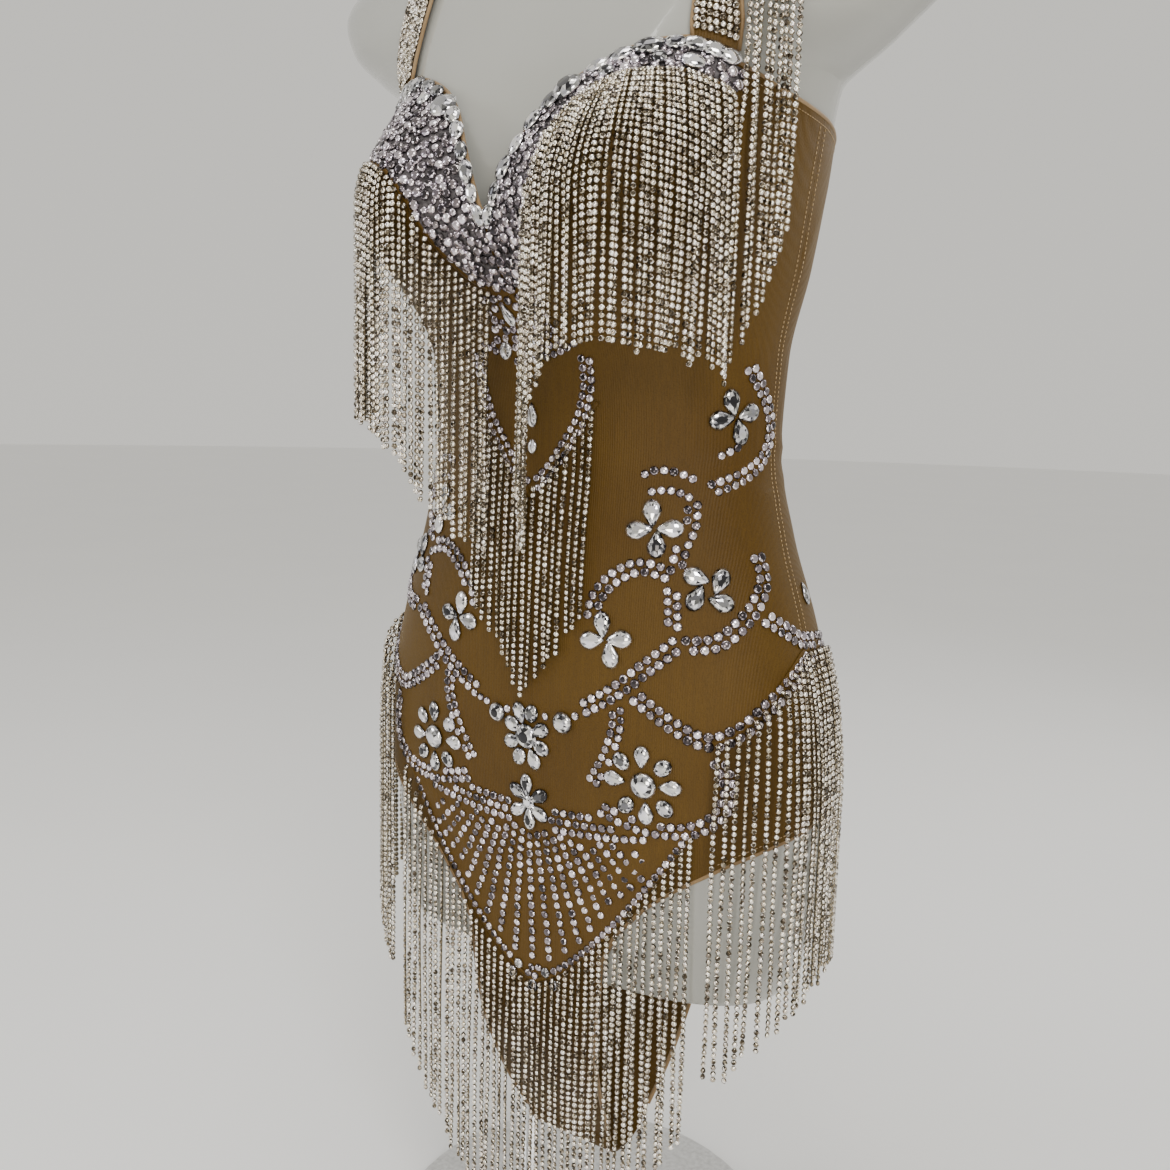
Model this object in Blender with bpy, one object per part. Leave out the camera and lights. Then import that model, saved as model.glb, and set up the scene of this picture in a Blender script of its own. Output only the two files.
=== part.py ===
"""Fringed stage dress with a leotard cut, worn by a limbless torso form on a plain stand.

Metres, +Z up, the garment's front faces -Y and the wearer's left is +X.
Places on the torso are given as a bearing in degrees (0 front, 90 wearer's left, 180 back)
and a height above the underside of the stand's base.
"""

from bisect import bisect_right
import math

import bmesh
import bpy
import numpy as np

# Cloth
WALL = 0.0012
SEAM_GAP = 0.0003
FIT_GAP = 0.0010
CUP_PADDING = 0.0065
CRUST_RAISE = 0.0018
CRUST_WIDTH = 0.020
CRUST_SHARE = 0.45  # the most of a cup's height that the crust may take
CUP_ROW_SHARES = (0.0, 0.18, 0.36, 0.54, 0.70)
FRONT_ROWS = 17
BACK_ROWS = 17

# Chain fringe
STRAND_WIDTH = 0.0022
STRAND_DEPTH = 0.0018
STRIP_HEIGHT = 0.005
STRIP_DEPTH = 0.0024
STRIP_LIFT = 0.0004
STRIP_DROP = 0.001  # the cups' strips hang this far below the crust
STRAND_CLEAR = 0.0024
WALK = 0.004
NUDGE = 0.0004
FORWARD = np.array((0.0, -1.0, 0.0))
CHORD_ERROR = 0.0008
LEAST_REACH = 0.3  # bounds the clearance added where the front turns edge on
LEAST_FLAT = 0.35  # bounds the width of a strand's root on a steep strip
PROBE = 0.002

# Bust of the form
BUST_X = 0.088
BUST_Z = 0.785
BUST_DEPTH = 0.060
BUST_SPREAD = 0.052
BUST_RISE = 0.075
BUST_FALL = 0.050
CUP_SPREAD = 0.060
CUP_BRIDGE = 0.48

# Torso sections from the thighs' cut up to the neck
SECTION_COLUMNS = ("z", "half_width", "front", "back", "square")
SECTIONS = (
    (0.230, 0.160, 0.0715, 0.097, 2.70),
    (0.264, 0.164, 0.074, 0.102, 2.70),
    (0.340, 0.173, 0.079, 0.115, 2.65),
    (0.400, 0.177, 0.083, 0.119, 2.60),
    (0.460, 0.173, 0.088, 0.115, 2.50),
    (0.520, 0.160, 0.090, 0.102, 2.35),
    (0.580, 0.142, 0.089, 0.088, 2.25),
    (0.640, 0.131, 0.086, 0.075, 2.20),
    (0.700, 0.133, 0.092, 0.080, 2.20),
    (0.760, 0.144, 0.102, 0.096, 2.20),
    (0.820, 0.152, 0.102, 0.104, 2.25),
    (0.872, 0.160, 0.094, 0.104, 2.25),
    (0.900, 0.200, 0.086, 0.100, 2.20),
    (0.930, 0.238, 0.076, 0.092, 2.10),
    (0.956, 0.250, 0.066, 0.082, 2.00),
    (0.978, 0.232, 0.056, 0.070, 2.00),
    (1.000, 0.158, 0.050, 0.060, 2.00),
    (1.022, 0.088, 0.048, 0.054, 2.00),
    (1.045, 0.062, 0.048, 0.054, 2.00),
    (1.100, 0.056, 0.050, 0.054, 2.00),
)
FORM_BOTTOM = 0.264
FORM_TOP = 1.100
FORM_ROWS = (FORM_BOTTOM, 0.300, 0.340, 0.380, 0.420, 0.460, 0.500, 0.540, 0.575, 0.603, 0.625,
             0.645, 0.667, 0.689, 0.710, 0.732, 0.752, 0.770, 0.788, 0.808, 0.830, 0.850, 0.867,
             0.879, 0.892, 0.908, 0.928, 0.948, 0.964, 0.978, 0.990, 1.004, 1.020, 1.042, FORM_TOP)

# Bearings of the lattice columns; the tail is as wide as the first few
TAIL_BEARING = 17.5
FRONT_BEARINGS = (0.0, 5.0, 11.0, TAIL_BEARING, 25.0, 32.0, 38.5, 44.0, 48.5, 52.5, 61.0, 70.0, 80.0,
                  90.0)
BACK_BEARINGS = (90.0, 100.0, 110.0, 120.0, 130.0, 137.5, 145.0, 154.0, 180.0 - TAIL_BEARING, 169.0,
                 175.0, 180.0)
CUP_END = 52.5
STRAP_FRONT = (38.5, 45.5, 52.5)
STRAP_BACK = (130.0, 137.5, 145.0)

# Cut edges: bearing and height
NECKLINE = ((0, 0.775), (5, 0.812), (11, 0.842), (17.5, 0.860), (25, 0.871), (32, 0.877), (38.5, 0.8785),
            (52.5, 0.872))
CUP_SEAM = ((0, 0.735), (5, 0.727), (11, 0.718), (17.5, 0.711), (25, 0.707), (32, 0.714),
            (38.5, 0.736), (44, 0.770), (48.5, 0.815), (52.5, 0.866))
ARMHOLE = ((52.5, 0.866), (61, 0.860), (70, 0.854), (80, 0.850), (90, 0.847), (110, 0.840),
           (130, 0.834), (145, 0.828))
BACK_NECK = ((145, 0.828), (154, 0.790), (162.5, 0.758), (169, 0.740), (175, 0.732), (180, 0.730))
LEG_FRONT = ((TAIL_BEARING, 0.306), (25, 0.330), (32, 0.345), (39, 0.356), (52.5, 0.372), (70, 0.384),
             (90, 0.390))
LEG_BACK = ((90, 0.390), (110, 0.386), (130, 0.372), (145, 0.348), (154, 0.326),
            (180 - TAIL_BEARING, 0.306))

# Tails between the legs, below the panels: height, depth (none where it follows the torso), half width
FRONT_TAIL = ((0.282, None, 0.058), (0.248, None, 0.055), (0.215, -0.0690, 0.051),
              (0.175, -0.0560, 0.047), (0.140, -0.0400, 0.043), (0.112, -0.0240, 0.038))
BACK_TAIL = ((0.282, None, 0.058), (0.248, None, 0.055), (0.215, 0.0920, 0.051),
             (0.175, 0.0740, 0.047), (0.140, 0.0530, 0.043), (0.112, 0.0320, 0.038))
GUSSET_BOTTOM = 0.090
GUSSET_ROWS = 8
GUSSET_WAIST = 0.10
TAIL_LEAN = math.radians(20)

# Straps
STRAP_TOP_X = 0.112
STRAP_WIDTH = 0.026
STRAP_ROWS = 18
STRAP_LIFT = 0.0008
STRAP_TOP_LIFT = 0.0030
STRAP_END_GAP = 0.0008
STRAP_TURNS = (-8.0, 203.0)
SHOULDER_TURN = 80.0
SHOULDER_Z = 0.900

# Fringe lines and lengths
CUP_FRINGE = {"from": 4.0, "to": 46.5, "strands": 30, "length": 0.165}
WAIST_V = {"half_width": 0.049, "tip_z": 0.604, "end_z": 0.668, "strands": 15, "length": 0.134}
HIP_V = {"half_width": 0.125, "tip_z": 0.252, "end_z": 0.394, "fullness": 1.45, "strands": 37,
         "length": 0.222}
HIP_LINE = ((45.5, 0.452), (53, 0.459), (64, 0.475), (78, 0.496), (90, 0.507), (110, 0.502),
            (135, 0.476), (158, 0.446), (180, 0.435))
HIP_BACK = {"strands": 64, "length": 0.238}
SHOULDER_FRINGE = {"seat_x": 0.119, "from_x": 0.141, "to_x": 0.168, "strands": 7,
                   "inner_z": 0.690, "outer_z": 0.765}

# Crystal flowers: name, distance from the centre line, height, petals, reach, turn in degrees
FLOWERS = (
    ("flower_side", 0.124, 0.660, 4, 0.019, 20.0),
    ("flower_waist", 0.088, 0.588, 4, 0.019, 0.0),
    ("flower_curl", 0.121, 0.550, 4, 0.019, 35.0),
    ("flower_inner", 0.062, 0.514, 4, 0.019, 10.0),
    ("flower_hip", 0.090, 0.417, 8, 0.026, 0.0),
    ("flower_centre", 0.0, 0.440, 8, 0.024, 0.0),
    ("flower_lower", 0.0, 0.392, 6, 0.021, 30.0),
)
FLOWER_HEART = 0.40
FLOWER_RISE = 0.0045
FLOWER_EDGE = 0.0018
FLOWER_LIFT = 0.0009

# Stand
BASE_RADIUS = 0.150
BASE_HEIGHT = 0.010
BASE_BEVEL = 0.002
POLE_RADIUS = 0.009
POLE_X = -0.052


def clear_scene():
    for thing in list(bpy.data.objects):
        bpy.data.objects.remove(thing)


def material(name, colour, roughness, metallic=0.0):
    made = bpy.data.materials.new(name)
    made.use_nodes = True
    surface = made.node_tree.nodes["Principled BSDF"]
    surface.inputs["Base Color"].default_value = (*colour, 1.0)
    surface.inputs["Roughness"].default_value = roughness
    surface.inputs["Metallic"].default_value = metallic
    return made


def curve(rows, column):
    """A smooth curve through a table's rows that never overshoots them."""
    xs = [row[0] for row in rows]
    ys = [row[column] for row in rows]
    steps = [(ys[i + 1] - ys[i]) / (xs[i + 1] - xs[i]) for i in range(len(xs) - 1)]
    slopes = [steps[0]]
    for before, after in zip(steps, steps[1:]):
        same_way = before * after > 0
        slopes.append(2 * before * after / (before + after) if same_way else 0.0)
    slopes.append(steps[-1])

    def value(x):
        i = min(max(bisect_right(xs, x) - 1, 0), len(xs) - 2)
        span = xs[i + 1] - xs[i]
        t = min(max((x - xs[i]) / span, 0.0), 1.0)
        rise = ys[i + 1] - ys[i]
        ends = slopes[i] * span * t * (1 - t) ** 2 - slopes[i + 1] * span * t * t * (1 - t)
        return ys[i] + rise * t * t * (3 - 2 * t) + ends

    return value


SECTION = {name: curve(SECTIONS, i) for i, name in enumerate(SECTION_COLUMNS) if i}
NECK_Z = curve(NECKLINE, 1)
CUP_SEAM_Z = curve(CUP_SEAM, 1)
ARMHOLE_Z = curve(ARMHOLE, 1)
BACK_NECK_Z = curve(BACK_NECK, 1)
LEG_FRONT_Z = curve(LEG_FRONT, 1)
LEG_BACK_Z = curve(LEG_BACK, 1)
HIP_LINE_Z = curve(HIP_LINE, 1)


def section(z):
    return tuple(SECTION[name](z) for name in SECTION_COLUMNS[1:])


def bust(x, z, worn):
    """How far the bust stands forward; a worn cup bridges the hollow between and adds its padding."""
    near = (abs(x) - BUST_X) / BUST_SPREAD
    far = (abs(x) + BUST_X) / BUST_SPREAD
    across = math.exp(-near * near) + math.exp(-far * far)
    tall = BUST_RISE if z > BUST_Z else BUST_FALL
    up = math.exp(-((z - BUST_Z) / tall) ** 2)
    if not worn:
        return BUST_DEPTH * across * up
    if abs(x) < BUST_X:
        across = max(across, 1 - (1 - across) * CUP_BRIDGE)
    else:
        across = max(across, math.exp(-((abs(x) - BUST_X) / CUP_SPREAD) ** 2))
    return (BUST_DEPTH + CUP_PADDING) * across * up


def on_torso(bearing, z, worn):
    half_width, front, back, square = section(z)
    turn = math.radians(bearing)
    power = 2 / square
    x = half_width * math.copysign(abs(math.sin(turn)) ** power, math.sin(turn))
    reach = abs(math.cos(turn)) ** power
    if math.cos(turn) >= 0:
        return np.array((x, -front * reach - bust(x, z, worn) * reach * (2 - reach), z))
    return np.array((x, back * reach, z))


def normal_at(bearing, z, worn=True):
    """The outward direction, from points a little either side."""
    across = on_torso(bearing + 0.4, z, worn) - on_torso(bearing - 0.4, z, worn)
    up = on_torso(bearing, z + 0.001, worn) - on_torso(bearing, z - 0.001, worn)
    out = np.cross(across, up)
    return out / np.linalg.norm(out)


def skin(bearing, z, out=0.0):
    """A point of the worn cloth's inner face, or out from it."""
    return on_torso(bearing, z, True) + normal_at(bearing, z) * (FIT_GAP + out)


def covered(x, y, z, clear):
    """Whether a point lies inside the cloth grown by a clearance."""
    half_width, front, back, square = section(z)
    side = abs(x) / (half_width + clear)
    if side >= 1:
        return False
    reach = (1 - side ** square) ** (1 / square)
    if y < 0:
        deep = front * reach + bust(x, z, True) * reach * (2 - reach)
        return -y < deep + clear / max(reach, LEAST_REACH)
    return y < (back + clear) * reach


def closed_body(name, points, faces, finish):
    mesh = bpy.data.meshes.new(name)
    mesh.from_pydata([tuple(p) for p in points], [], faces)
    shape = bmesh.new()
    shape.from_mesh(mesh)
    bmesh.ops.triangulate(shape, faces=[f for f in shape.faces if len(f.verts) > 3])
    bmesh.ops.recalc_face_normals(shape, faces=shape.faces)
    shape.to_mesh(mesh)
    shape.free()
    mesh.materials.append(finish)
    mesh.shade_smooth()
    mesh.set_sharp_from_angle(angle=math.radians(40))
    body = bpy.data.objects.new(name, mesh)
    bpy.context.scene.collection.objects.link(body)
    return body


def wall(name, inner, outer, cells, finish):
    """A closed wall between two faces that share their cells."""
    count = len(inner)
    faces = [tuple(cell) for cell in cells]
    faces += [tuple(count + i for i in reversed(cell)) for cell in cells]
    uses = {}
    for cell in cells:
        for a, b in zip(cell, cell[1:] + cell[:1]):
            uses[(a, b)] = True
    for a, b in uses:
        if (b, a) not in uses:
            faces.append((b, a, count + a, count + b))
    return closed_body(name, list(inner) + list(outer), faces, finish)


def lattice_cells(rows, columns):
    return [
        [r * columns + c, r * columns + c + 1, (r + 1) * columns + c + 1, (r + 1) * columns + c]
        for r in range(rows - 1)
        for c in range(columns - 1)
    ]


def shift_seam(points, ids, amount, inward):
    """Moves a row of seam points across the seam, within the cloth, towards a given side."""
    rows = [points[i].copy() for i in ids]
    for k, i in enumerate(ids):
        along = rows[min(k + 1, len(rows) - 1)] - rows[max(k - 1, 0)]
        across = inward[k] - along * (inward[k] @ along) / (along @ along)
        points[i] = rows[k] + across / np.linalg.norm(across) * amount


def both_sides(bearings):
    return [-b for b in reversed(bearings) if b] + list(bearings)


def panel_wall(bearings, bottom, top, row_count, tail):
    """A body panel: columns at fixed bearings from its leg line to its top edge, and a tail below."""
    inner = []
    outer = []
    for r in range(row_count):
        t = r / (row_count - 1)
        for bearing in bearings:
            low = bottom(bearing)
            z = low + (top(bearing) - low) * t
            inner.append(skin(bearing, z))
            outer.append(skin(bearing, z, WALL))
    cells = lattice_cells(row_count, len(bearings))
    above = [c for c, b in enumerate(bearings) if tail["holds"](b)]
    shares = [inner[c][0] / abs(inner[above[0]][0]) for c in above]
    last = len(tail["rows"]) - 1
    for k, (z, y, half_width) in enumerate(tail["rows"]):
        below = []
        for share in shares:
            below.append(len(inner))
            if y is None:
                bearing = bearing_of(share * half_width, z)
                if tail["side"] > 0:
                    bearing = 180 - bearing
                inner.append(skin(bearing, z))
                outer.append(skin(bearing, z, WALL))
                continue
            place = np.array((share * half_width, y, z + (SEAM_GAP / 2 if k == last else 0.0)))
            lean = 0.0 if k == last else TAIL_LEAN
            out = np.array((0.0, tail["side"] * math.cos(lean), -math.sin(lean)))
            inner.append(place)
            outer.append(place + out * WALL)
        for a in range(len(below) - 1):
            cells.append([below[a], below[a + 1], above[a + 1], above[a]])
        above = below
    return inner, outer, cells


def make_front_panel(finish):
    bearings = both_sides(FRONT_BEARINGS)

    def bottom(bearing):
        return LEG_FRONT_Z(max(abs(bearing), TAIL_BEARING))

    def top(bearing):
        side = abs(bearing)
        return CUP_SEAM_Z(side) if side <= CUP_END else ARMHOLE_Z(side)

    tail = {"holds": lambda b: abs(b) <= TAIL_BEARING, "rows": FRONT_TAIL, "side": -1}
    inner, outer, cells = panel_wall(bearings, bottom, top, FRONT_ROWS, tail)
    columns = len(bearings)
    seam = [(FRONT_ROWS - 1) * columns + c for c, b in enumerate(bearings) if abs(b) <= CUP_END]
    under = [inner[i - columns] - inner[i] for i in seam]
    for face in (inner, outer):
        shift_seam(face, seam, SEAM_GAP / 2, under)
        for r in range(FRONT_ROWS):
            face[r * columns][1] -= SEAM_GAP / 2
            face[r * columns + columns - 1][1] -= SEAM_GAP / 2
    return wall("front_panel", inner, outer, cells, finish)


def make_back_panel(finish):
    bearings = list(BACK_BEARINGS) + [360 - b for b in reversed(BACK_BEARINGS[:-1])]

    def side_of(bearing):
        return bearing if bearing <= 180 else 360 - bearing

    def bottom(bearing):
        return LEG_BACK_Z(min(side_of(bearing), 180 - TAIL_BEARING))

    def top(bearing):
        side = side_of(bearing)
        return ARMHOLE_Z(side) if side <= STRAP_BACK[-1] else BACK_NECK_Z(side)

    tail = {"holds": lambda b: side_of(b) >= 180 - TAIL_BEARING, "rows": BACK_TAIL, "side": 1}
    inner, outer, cells = panel_wall(bearings, bottom, top, BACK_ROWS, tail)
    columns = len(bearings)
    for face in (inner, outer):
        for r in range(BACK_ROWS):
            face[r * columns][1] += SEAM_GAP / 2
            face[r * columns + columns - 1][1] += SEAM_GAP / 2
    return wall("back_panel", inner, outer, cells, finish)


def make_gusset(finish):
    """The strip under the crotch, a shallow U between the two tails."""
    z_front, y_front, half_front = FRONT_TAIL[-1]
    z_back, y_back, half_back = BACK_TAIL[-1]
    middle = (y_front + y_back) / 2
    radius = (y_back - y_front) / 2
    drop = z_front - GUSSET_BOTTOM
    bearings = both_sides([b for b in FRONT_BEARINGS if b <= TAIL_BEARING])
    offsets = [skin(b, LEG_FRONT_Z(TAIL_BEARING))[0] for b in bearings]
    shares = [x / offsets[-1] for x in offsets]
    inner = []
    outer = []
    for r in range(GUSSET_ROWS + 1):
        turn = math.pi * r / GUSSET_ROWS
        y = middle - radius * math.cos(turn)
        z = z_front - drop * math.sin(turn) - SEAM_GAP / 2
        out = np.array((0.0, -math.cos(turn) * drop, -math.sin(turn) * radius))
        out = out / np.linalg.norm(out)
        half = half_front + (half_back - half_front) * r / GUSSET_ROWS
        half *= 1 - GUSSET_WAIST * math.sin(turn)
        for share in shares:
            place = np.array((share * half, y, z))
            inner.append(place)
            outer.append(place + out * WALL)
    cells = lattice_cells(GUSSET_ROWS + 1, len(shares))
    return wall("gusset", inner, outer, cells, finish)


def crust_edge(bearing):
    """The height of the crust's lower edge on a cup."""
    high = NECK_Z(bearing)
    return high - min(CRUST_WIDTH, (high - CUP_SEAM_Z(bearing)) * CRUST_SHARE)


def make_cup(side, finish):
    """One cup, from the centre seam to the strap, with the crust along its neckline raised."""
    bearings = [b for b in FRONT_BEARINGS if b <= CUP_END]
    row_count = len(CUP_ROW_SHARES) + 2
    inner = []
    outer = []
    for r in range(row_count):
        for bearing in bearings:
            low = CUP_SEAM_Z(bearing)
            high = NECK_Z(bearing)
            crust = crust_edge(bearing)
            levels = [low + (crust - low) * s / CUP_ROW_SHARES[-1] for s in CUP_ROW_SHARES]
            levels += [(crust + high) / 2, high]
            raised = CRUST_RAISE if r >= len(CUP_ROW_SHARES) else 0.0
            inner.append(skin(bearing, levels[r]))
            outer.append(skin(bearing, levels[r], WALL + raised))
    columns = len(bearings)
    seam = list(range(columns))
    above = [inner[i + columns] - inner[i] for i in seam]
    for face in (inner, outer):
        shift_seam(face, seam, SEAM_GAP / 2, above)
        for r in range(row_count):
            face[r * columns][0] = SEAM_GAP / 2
        for point in face:
            point[0] *= side
    cells = lattice_cells(row_count, columns)
    return wall("cup_left" if side > 0 else "cup_right", inner, outer, cells, finish)


def shoulder_point(x, turn, out):
    """Where a ray in the plane x leaves the torso; the turn runs 0 front, 90 up, 180 back."""
    ray = np.array((0.0, -math.cos(math.radians(turn)), math.sin(math.radians(turn))))
    start = np.array((x, 0.0, SHOULDER_Z))
    near = 0.0
    far = 0.20
    for _ in range(40):
        middle = (near + far) / 2
        place = start + ray * middle
        if covered(*place, 0.0):
            near = middle
        else:
            far = middle
    return start + ray * (near + out)


def make_strap(side, finish):
    """A band from the cup's corner over the shoulder to the back panel's corner."""
    front = [(b, NECK_Z(b)) for b in STRAP_FRONT]
    back = [(b, ARMHOLE_Z(b)) for b in reversed(STRAP_BACK)]
    inner = [skin(b, z + STRAP_END_GAP) for b, z in front]
    outer = [skin(b, z + STRAP_END_GAP, WALL) for b, z in front]
    back_inner = [skin(b, z + STRAP_END_GAP) for b, z in back]
    back_outer = [skin(b, z + STRAP_END_GAP, WALL) for b, z in back]
    front_x = inner[1][0]
    back_x = back_inner[1][0]
    first, last = STRAP_TURNS
    for row in range(STRAP_ROWS):
        t = row / (STRAP_ROWS - 1)
        centre = front_x + (STRAP_TOP_X - front_x) * min(t * 2, 1.0)
        centre += (back_x - STRAP_TOP_X) * max(t * 2 - 1, 0.0)
        lift = FIT_GAP + STRAP_LIFT + STRAP_TOP_LIFT * math.sin(math.pi * t)
        for share in (-0.5, 0.0, 0.5):
            x = centre + STRAP_WIDTH * share
            inner.append(shoulder_point(x, first + (last - first) * t, lift))
            outer.append(shoulder_point(x, first + (last - first) * t, lift + WALL))
    inner += back_inner
    outer += back_outer
    for face in (inner, outer):
        for point in face:
            point[0] *= side
    cells = lattice_cells(STRAP_ROWS + 2, 3)
    return wall("strap_left" if side > 0 else "strap_right", inner, outer, cells, finish)


def thinned(path):
    """The fewest points of a path that stay within the chord error of it."""
    start, end = path[0], path[-1]
    along = (end - start) / np.linalg.norm(end - start)
    gaps = [np.linalg.norm((p - start) - along * ((p - start) @ along)) for p in path]
    widest = int(np.argmax(gaps))
    if gaps[widest] < CHORD_ERROR:
        return [start, end]
    return thinned(path[:widest + 1])[:-1] + thinned(path[widest:])


def hang(root, heading, length, lowest=-1.0):
    """A strand's path: down the cloth to where it stands furthest out, then plumb."""
    path = [np.array(root)]
    reach = 0.0
    run = 0.0
    while run < length and path[-1][2] > lowest:
        level = np.array((root[0], root[1], path[-1][2] - WALK))
        while covered(*(level + heading * reach), FIT_GAP + WALL + STRAND_CLEAR):
            reach += NUDGE
        place = level + heading * reach
        run += np.linalg.norm(place - path[-1])
        path.append(place)
    return thinned(path)


def fringe(name, line, normals, strand_count, strands, finish, lead=0.0):
    """A narrow strip along a line with strands let into its lower face.

    line(s) gives a place at a share s of the line, normals(s) the way out of the cloth there,
    and strands(root, heading, index) a strand's path. A lead is a bare share before the first strand.
    """
    rings = [0.0, lead / 2] if lead else []
    for i in range(strand_count):
        middle = lead + (1 - lead) * (i + 0.5) / strand_count
        step = line(middle + PROBE) - line(middle - PROBE)
        pace = np.linalg.norm(step) / (2 * PROBE)
        flat = np.linalg.norm(step[:2]) / np.linalg.norm(step)
        half = STRAND_WIDTH / 2 / pace / max(flat, LEAST_FLAT)
        rings += [middle - half, middle + half]
    points = []
    for s in rings:
        place = line(s)
        out = normals(s)
        near = place + out * STRIP_LIFT
        far = place + out * (STRIP_LIFT + STRIP_DEPTH)
        rise = np.array((0.0, 0.0, 1.0)) - out * out[2]
        rise = rise / np.linalg.norm(rise) * STRIP_HEIGHT / 2
        points += [near + rise, far + rise, far - rise, near - rise]
    faces = [(0, 1, 2, 3)]
    for k in range(len(rings) - 1):
        a = 4 * k
        b = a + 4
        faces += [(a, b, b + 1, a + 1), (a + 1, b + 1, b + 2, a + 2), (a + 3, b + 3, b, a)]
        if k % 2 or (lead and not k):
            faces.append((a + 2, b + 2, b + 3, a + 3))
            continue
        top = [a + 2, b + 2, b + 3, a + 3]
        root = sum(points[i] for i in top) / 4
        out = normals((rings[k] + rings[k + 1]) / 2)
        heading = np.array((out[0], out[1], 0.0))
        heading = heading / np.linalg.norm(heading)
        side = (points[b + 2] - points[a + 2]) * (1.0, 1.0, 0.0)
        side = side / np.linalg.norm(side)
        for place in strands(root, heading, k // 2 - bool(lead))[1:]:
            ring = []
            for along, away in ((-1, 1), (1, 1), (1, -1), (-1, -1)):
                ring.append(len(points))
                points.append(place + side * along * STRAND_WIDTH / 2 + heading * away * STRAND_DEPTH / 2)
            for i in range(4):
                j = (i + 1) % 4
                faces.append((top[i], top[j], ring[j], ring[i]))
            top = ring
        faces.append(tuple(top))
    end = 4 * (len(rings) - 1)
    faces.append((end + 3, end + 2, end + 1, end))
    return closed_body(name, points, faces, finish)


def along_bearings(heights, start, end):
    """A line on the cloth's outer face between two bearings, evenly paced, with its normals."""
    samples = np.linspace(start, end, 200)
    places = [skin(b, heights(b), WALL) for b in samples]
    runs = np.concatenate(([0.0], np.cumsum([np.linalg.norm(q - p) for p, q in zip(places, places[1:])])))

    def bearing_at(s):
        return float(np.interp(s * runs[-1], runs, samples))

    def line(s):
        bearing = bearing_at(s)
        return skin(bearing, heights(bearing), WALL)

    def normals(s):
        bearing = bearing_at(s)
        return normal_at(bearing, heights(bearing))

    return line, normals


def bearing_of(x, z):
    """The front bearing of a point at a distance from the centre line."""
    half_width, _, _, square = section(z)
    return math.degrees(math.asin(min(abs(x) / half_width, 1.0) ** (square / 2))) * math.copysign(1, x)


def along_x(heights, half_width):
    """A line across the front, its strands evenly spaced from side to side."""

    def bearing_at(s):
        x = half_width * (2 * s - 1)
        return bearing_of(x, heights(x)), heights(x)

    def line(s):
        return skin(*bearing_at(s), WALL)

    def normals(s):
        return normal_at(*bearing_at(s))

    return line, normals


def make_cup_fringe(side, finish):
    def heights(bearing):
        return crust_edge(abs(bearing)) - STRIP_HEIGHT / 2 - STRIP_DROP

    def strands(root, heading, _):
        return hang(root, heading, CUP_FRINGE["length"])

    line, normals = along_bearings(heights, side * CUP_FRINGE["from"], side * CUP_FRINGE["to"])
    name = "fringe_cup_left" if side > 0 else "fringe_cup_right"
    return fringe(name, line, normals, CUP_FRINGE["strands"], strands, finish)


def make_waist_fringe(finish):
    def heights(x):
        share = abs(x) / WAIST_V["half_width"]
        return WAIST_V["tip_z"] + (WAIST_V["end_z"] - WAIST_V["tip_z"]) * share

    def strands(root, heading, _):
        return hang(root, FORWARD, WAIST_V["length"])

    line, normals = along_x(heights, WAIST_V["half_width"])
    return fringe("fringe_waist_v", line, normals, WAIST_V["strands"], strands, finish)


def make_hip_front_fringe(finish):
    def heights(x):
        share = abs(x) / HIP_V["half_width"]
        return HIP_V["tip_z"] + (HIP_V["end_z"] - HIP_V["tip_z"]) * share ** HIP_V["fullness"]

    def strands(root, heading, _):
        return hang(root, heading, HIP_V["length"])

    line, normals = along_x(heights, HIP_V["half_width"])
    return fringe("fringe_hip_front", line, normals, HIP_V["strands"], strands, finish)


def make_hip_back_fringe(finish):
    def heights(bearing):
        return HIP_LINE_Z(bearing if bearing <= 180 else 360 - bearing)

    def strands(root, heading, _):
        return hang(root, heading, HIP_BACK["length"])

    line, normals = along_bearings(heights, HIP_LINE[0][0], 360 - HIP_LINE[0][0])
    return fringe("fringe_hip_back", line, normals, HIP_BACK["strands"], strands, finish)


def make_shoulder_fringe(finish):
    """Long strands beside the left strap, from a strip that is seated on it at the top of the shoulder."""
    start = SHOULDER_FRINGE["seat_x"]
    width = SHOULDER_FRINGE["to_x"] - start
    lead = (SHOULDER_FRINGE["from_x"] - start) / width
    lift = FIT_GAP + STRAP_LIFT + STRAP_TOP_LIFT + WALL
    rise = SHOULDER_FRINGE["outer_z"] - SHOULDER_FRINGE["inner_z"]

    def line(s):
        return shoulder_point(start + width * s, SHOULDER_TURN, lift)

    def normals(s):
        return np.array((0.0, -0.35, 0.94))

    def strands(root, heading, index):
        share = index / (SHOULDER_FRINGE["strands"] - 1)
        return hang(root, FORWARD, 1.0, SHOULDER_FRINGE["inner_z"] + rise * share)

    return fringe("fringe_shoulder_left", line, normals, SHOULDER_FRINGE["strands"], strands, finish, lead)


def make_flower(name, x, z, petals, reach, turn, finish):
    """A low star of fused crystal petals that follows the cloth."""
    centre = bearing_of(x, z)
    across = skin(centre + 0.5, z) - skin(centre - 0.5, z)
    degrees_per_metre = 1.0 / np.linalg.norm(across)

    def place(u, v, out):
        return skin(centre + u * degrees_per_metre, z + v, WALL + out)

    base = []
    for k in range(2 * petals):
        angle = math.radians(turn) + math.pi * k / petals
        far = reach if k % 2 == 0 else reach * FLOWER_HEART
        base.append((far * math.cos(angle), far * math.sin(angle)))
    points = [place(u, v, FLOWER_LIFT) for u, v in base]
    points += [place(u, v, FLOWER_LIFT + FLOWER_EDGE) for u, v in base]
    points += [place(0, 0, FLOWER_LIFT), place(0, 0, FLOWER_LIFT + FLOWER_RISE)]
    count = len(base)
    low = 2 * count
    faces = []
    for i in range(count):
        j = (i + 1) % count
        faces += [(i, j, count + j, count + i), (j, i, low), (count + i, count + j, low + 1)]
    return closed_body(name, points, faces, finish)


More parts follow.
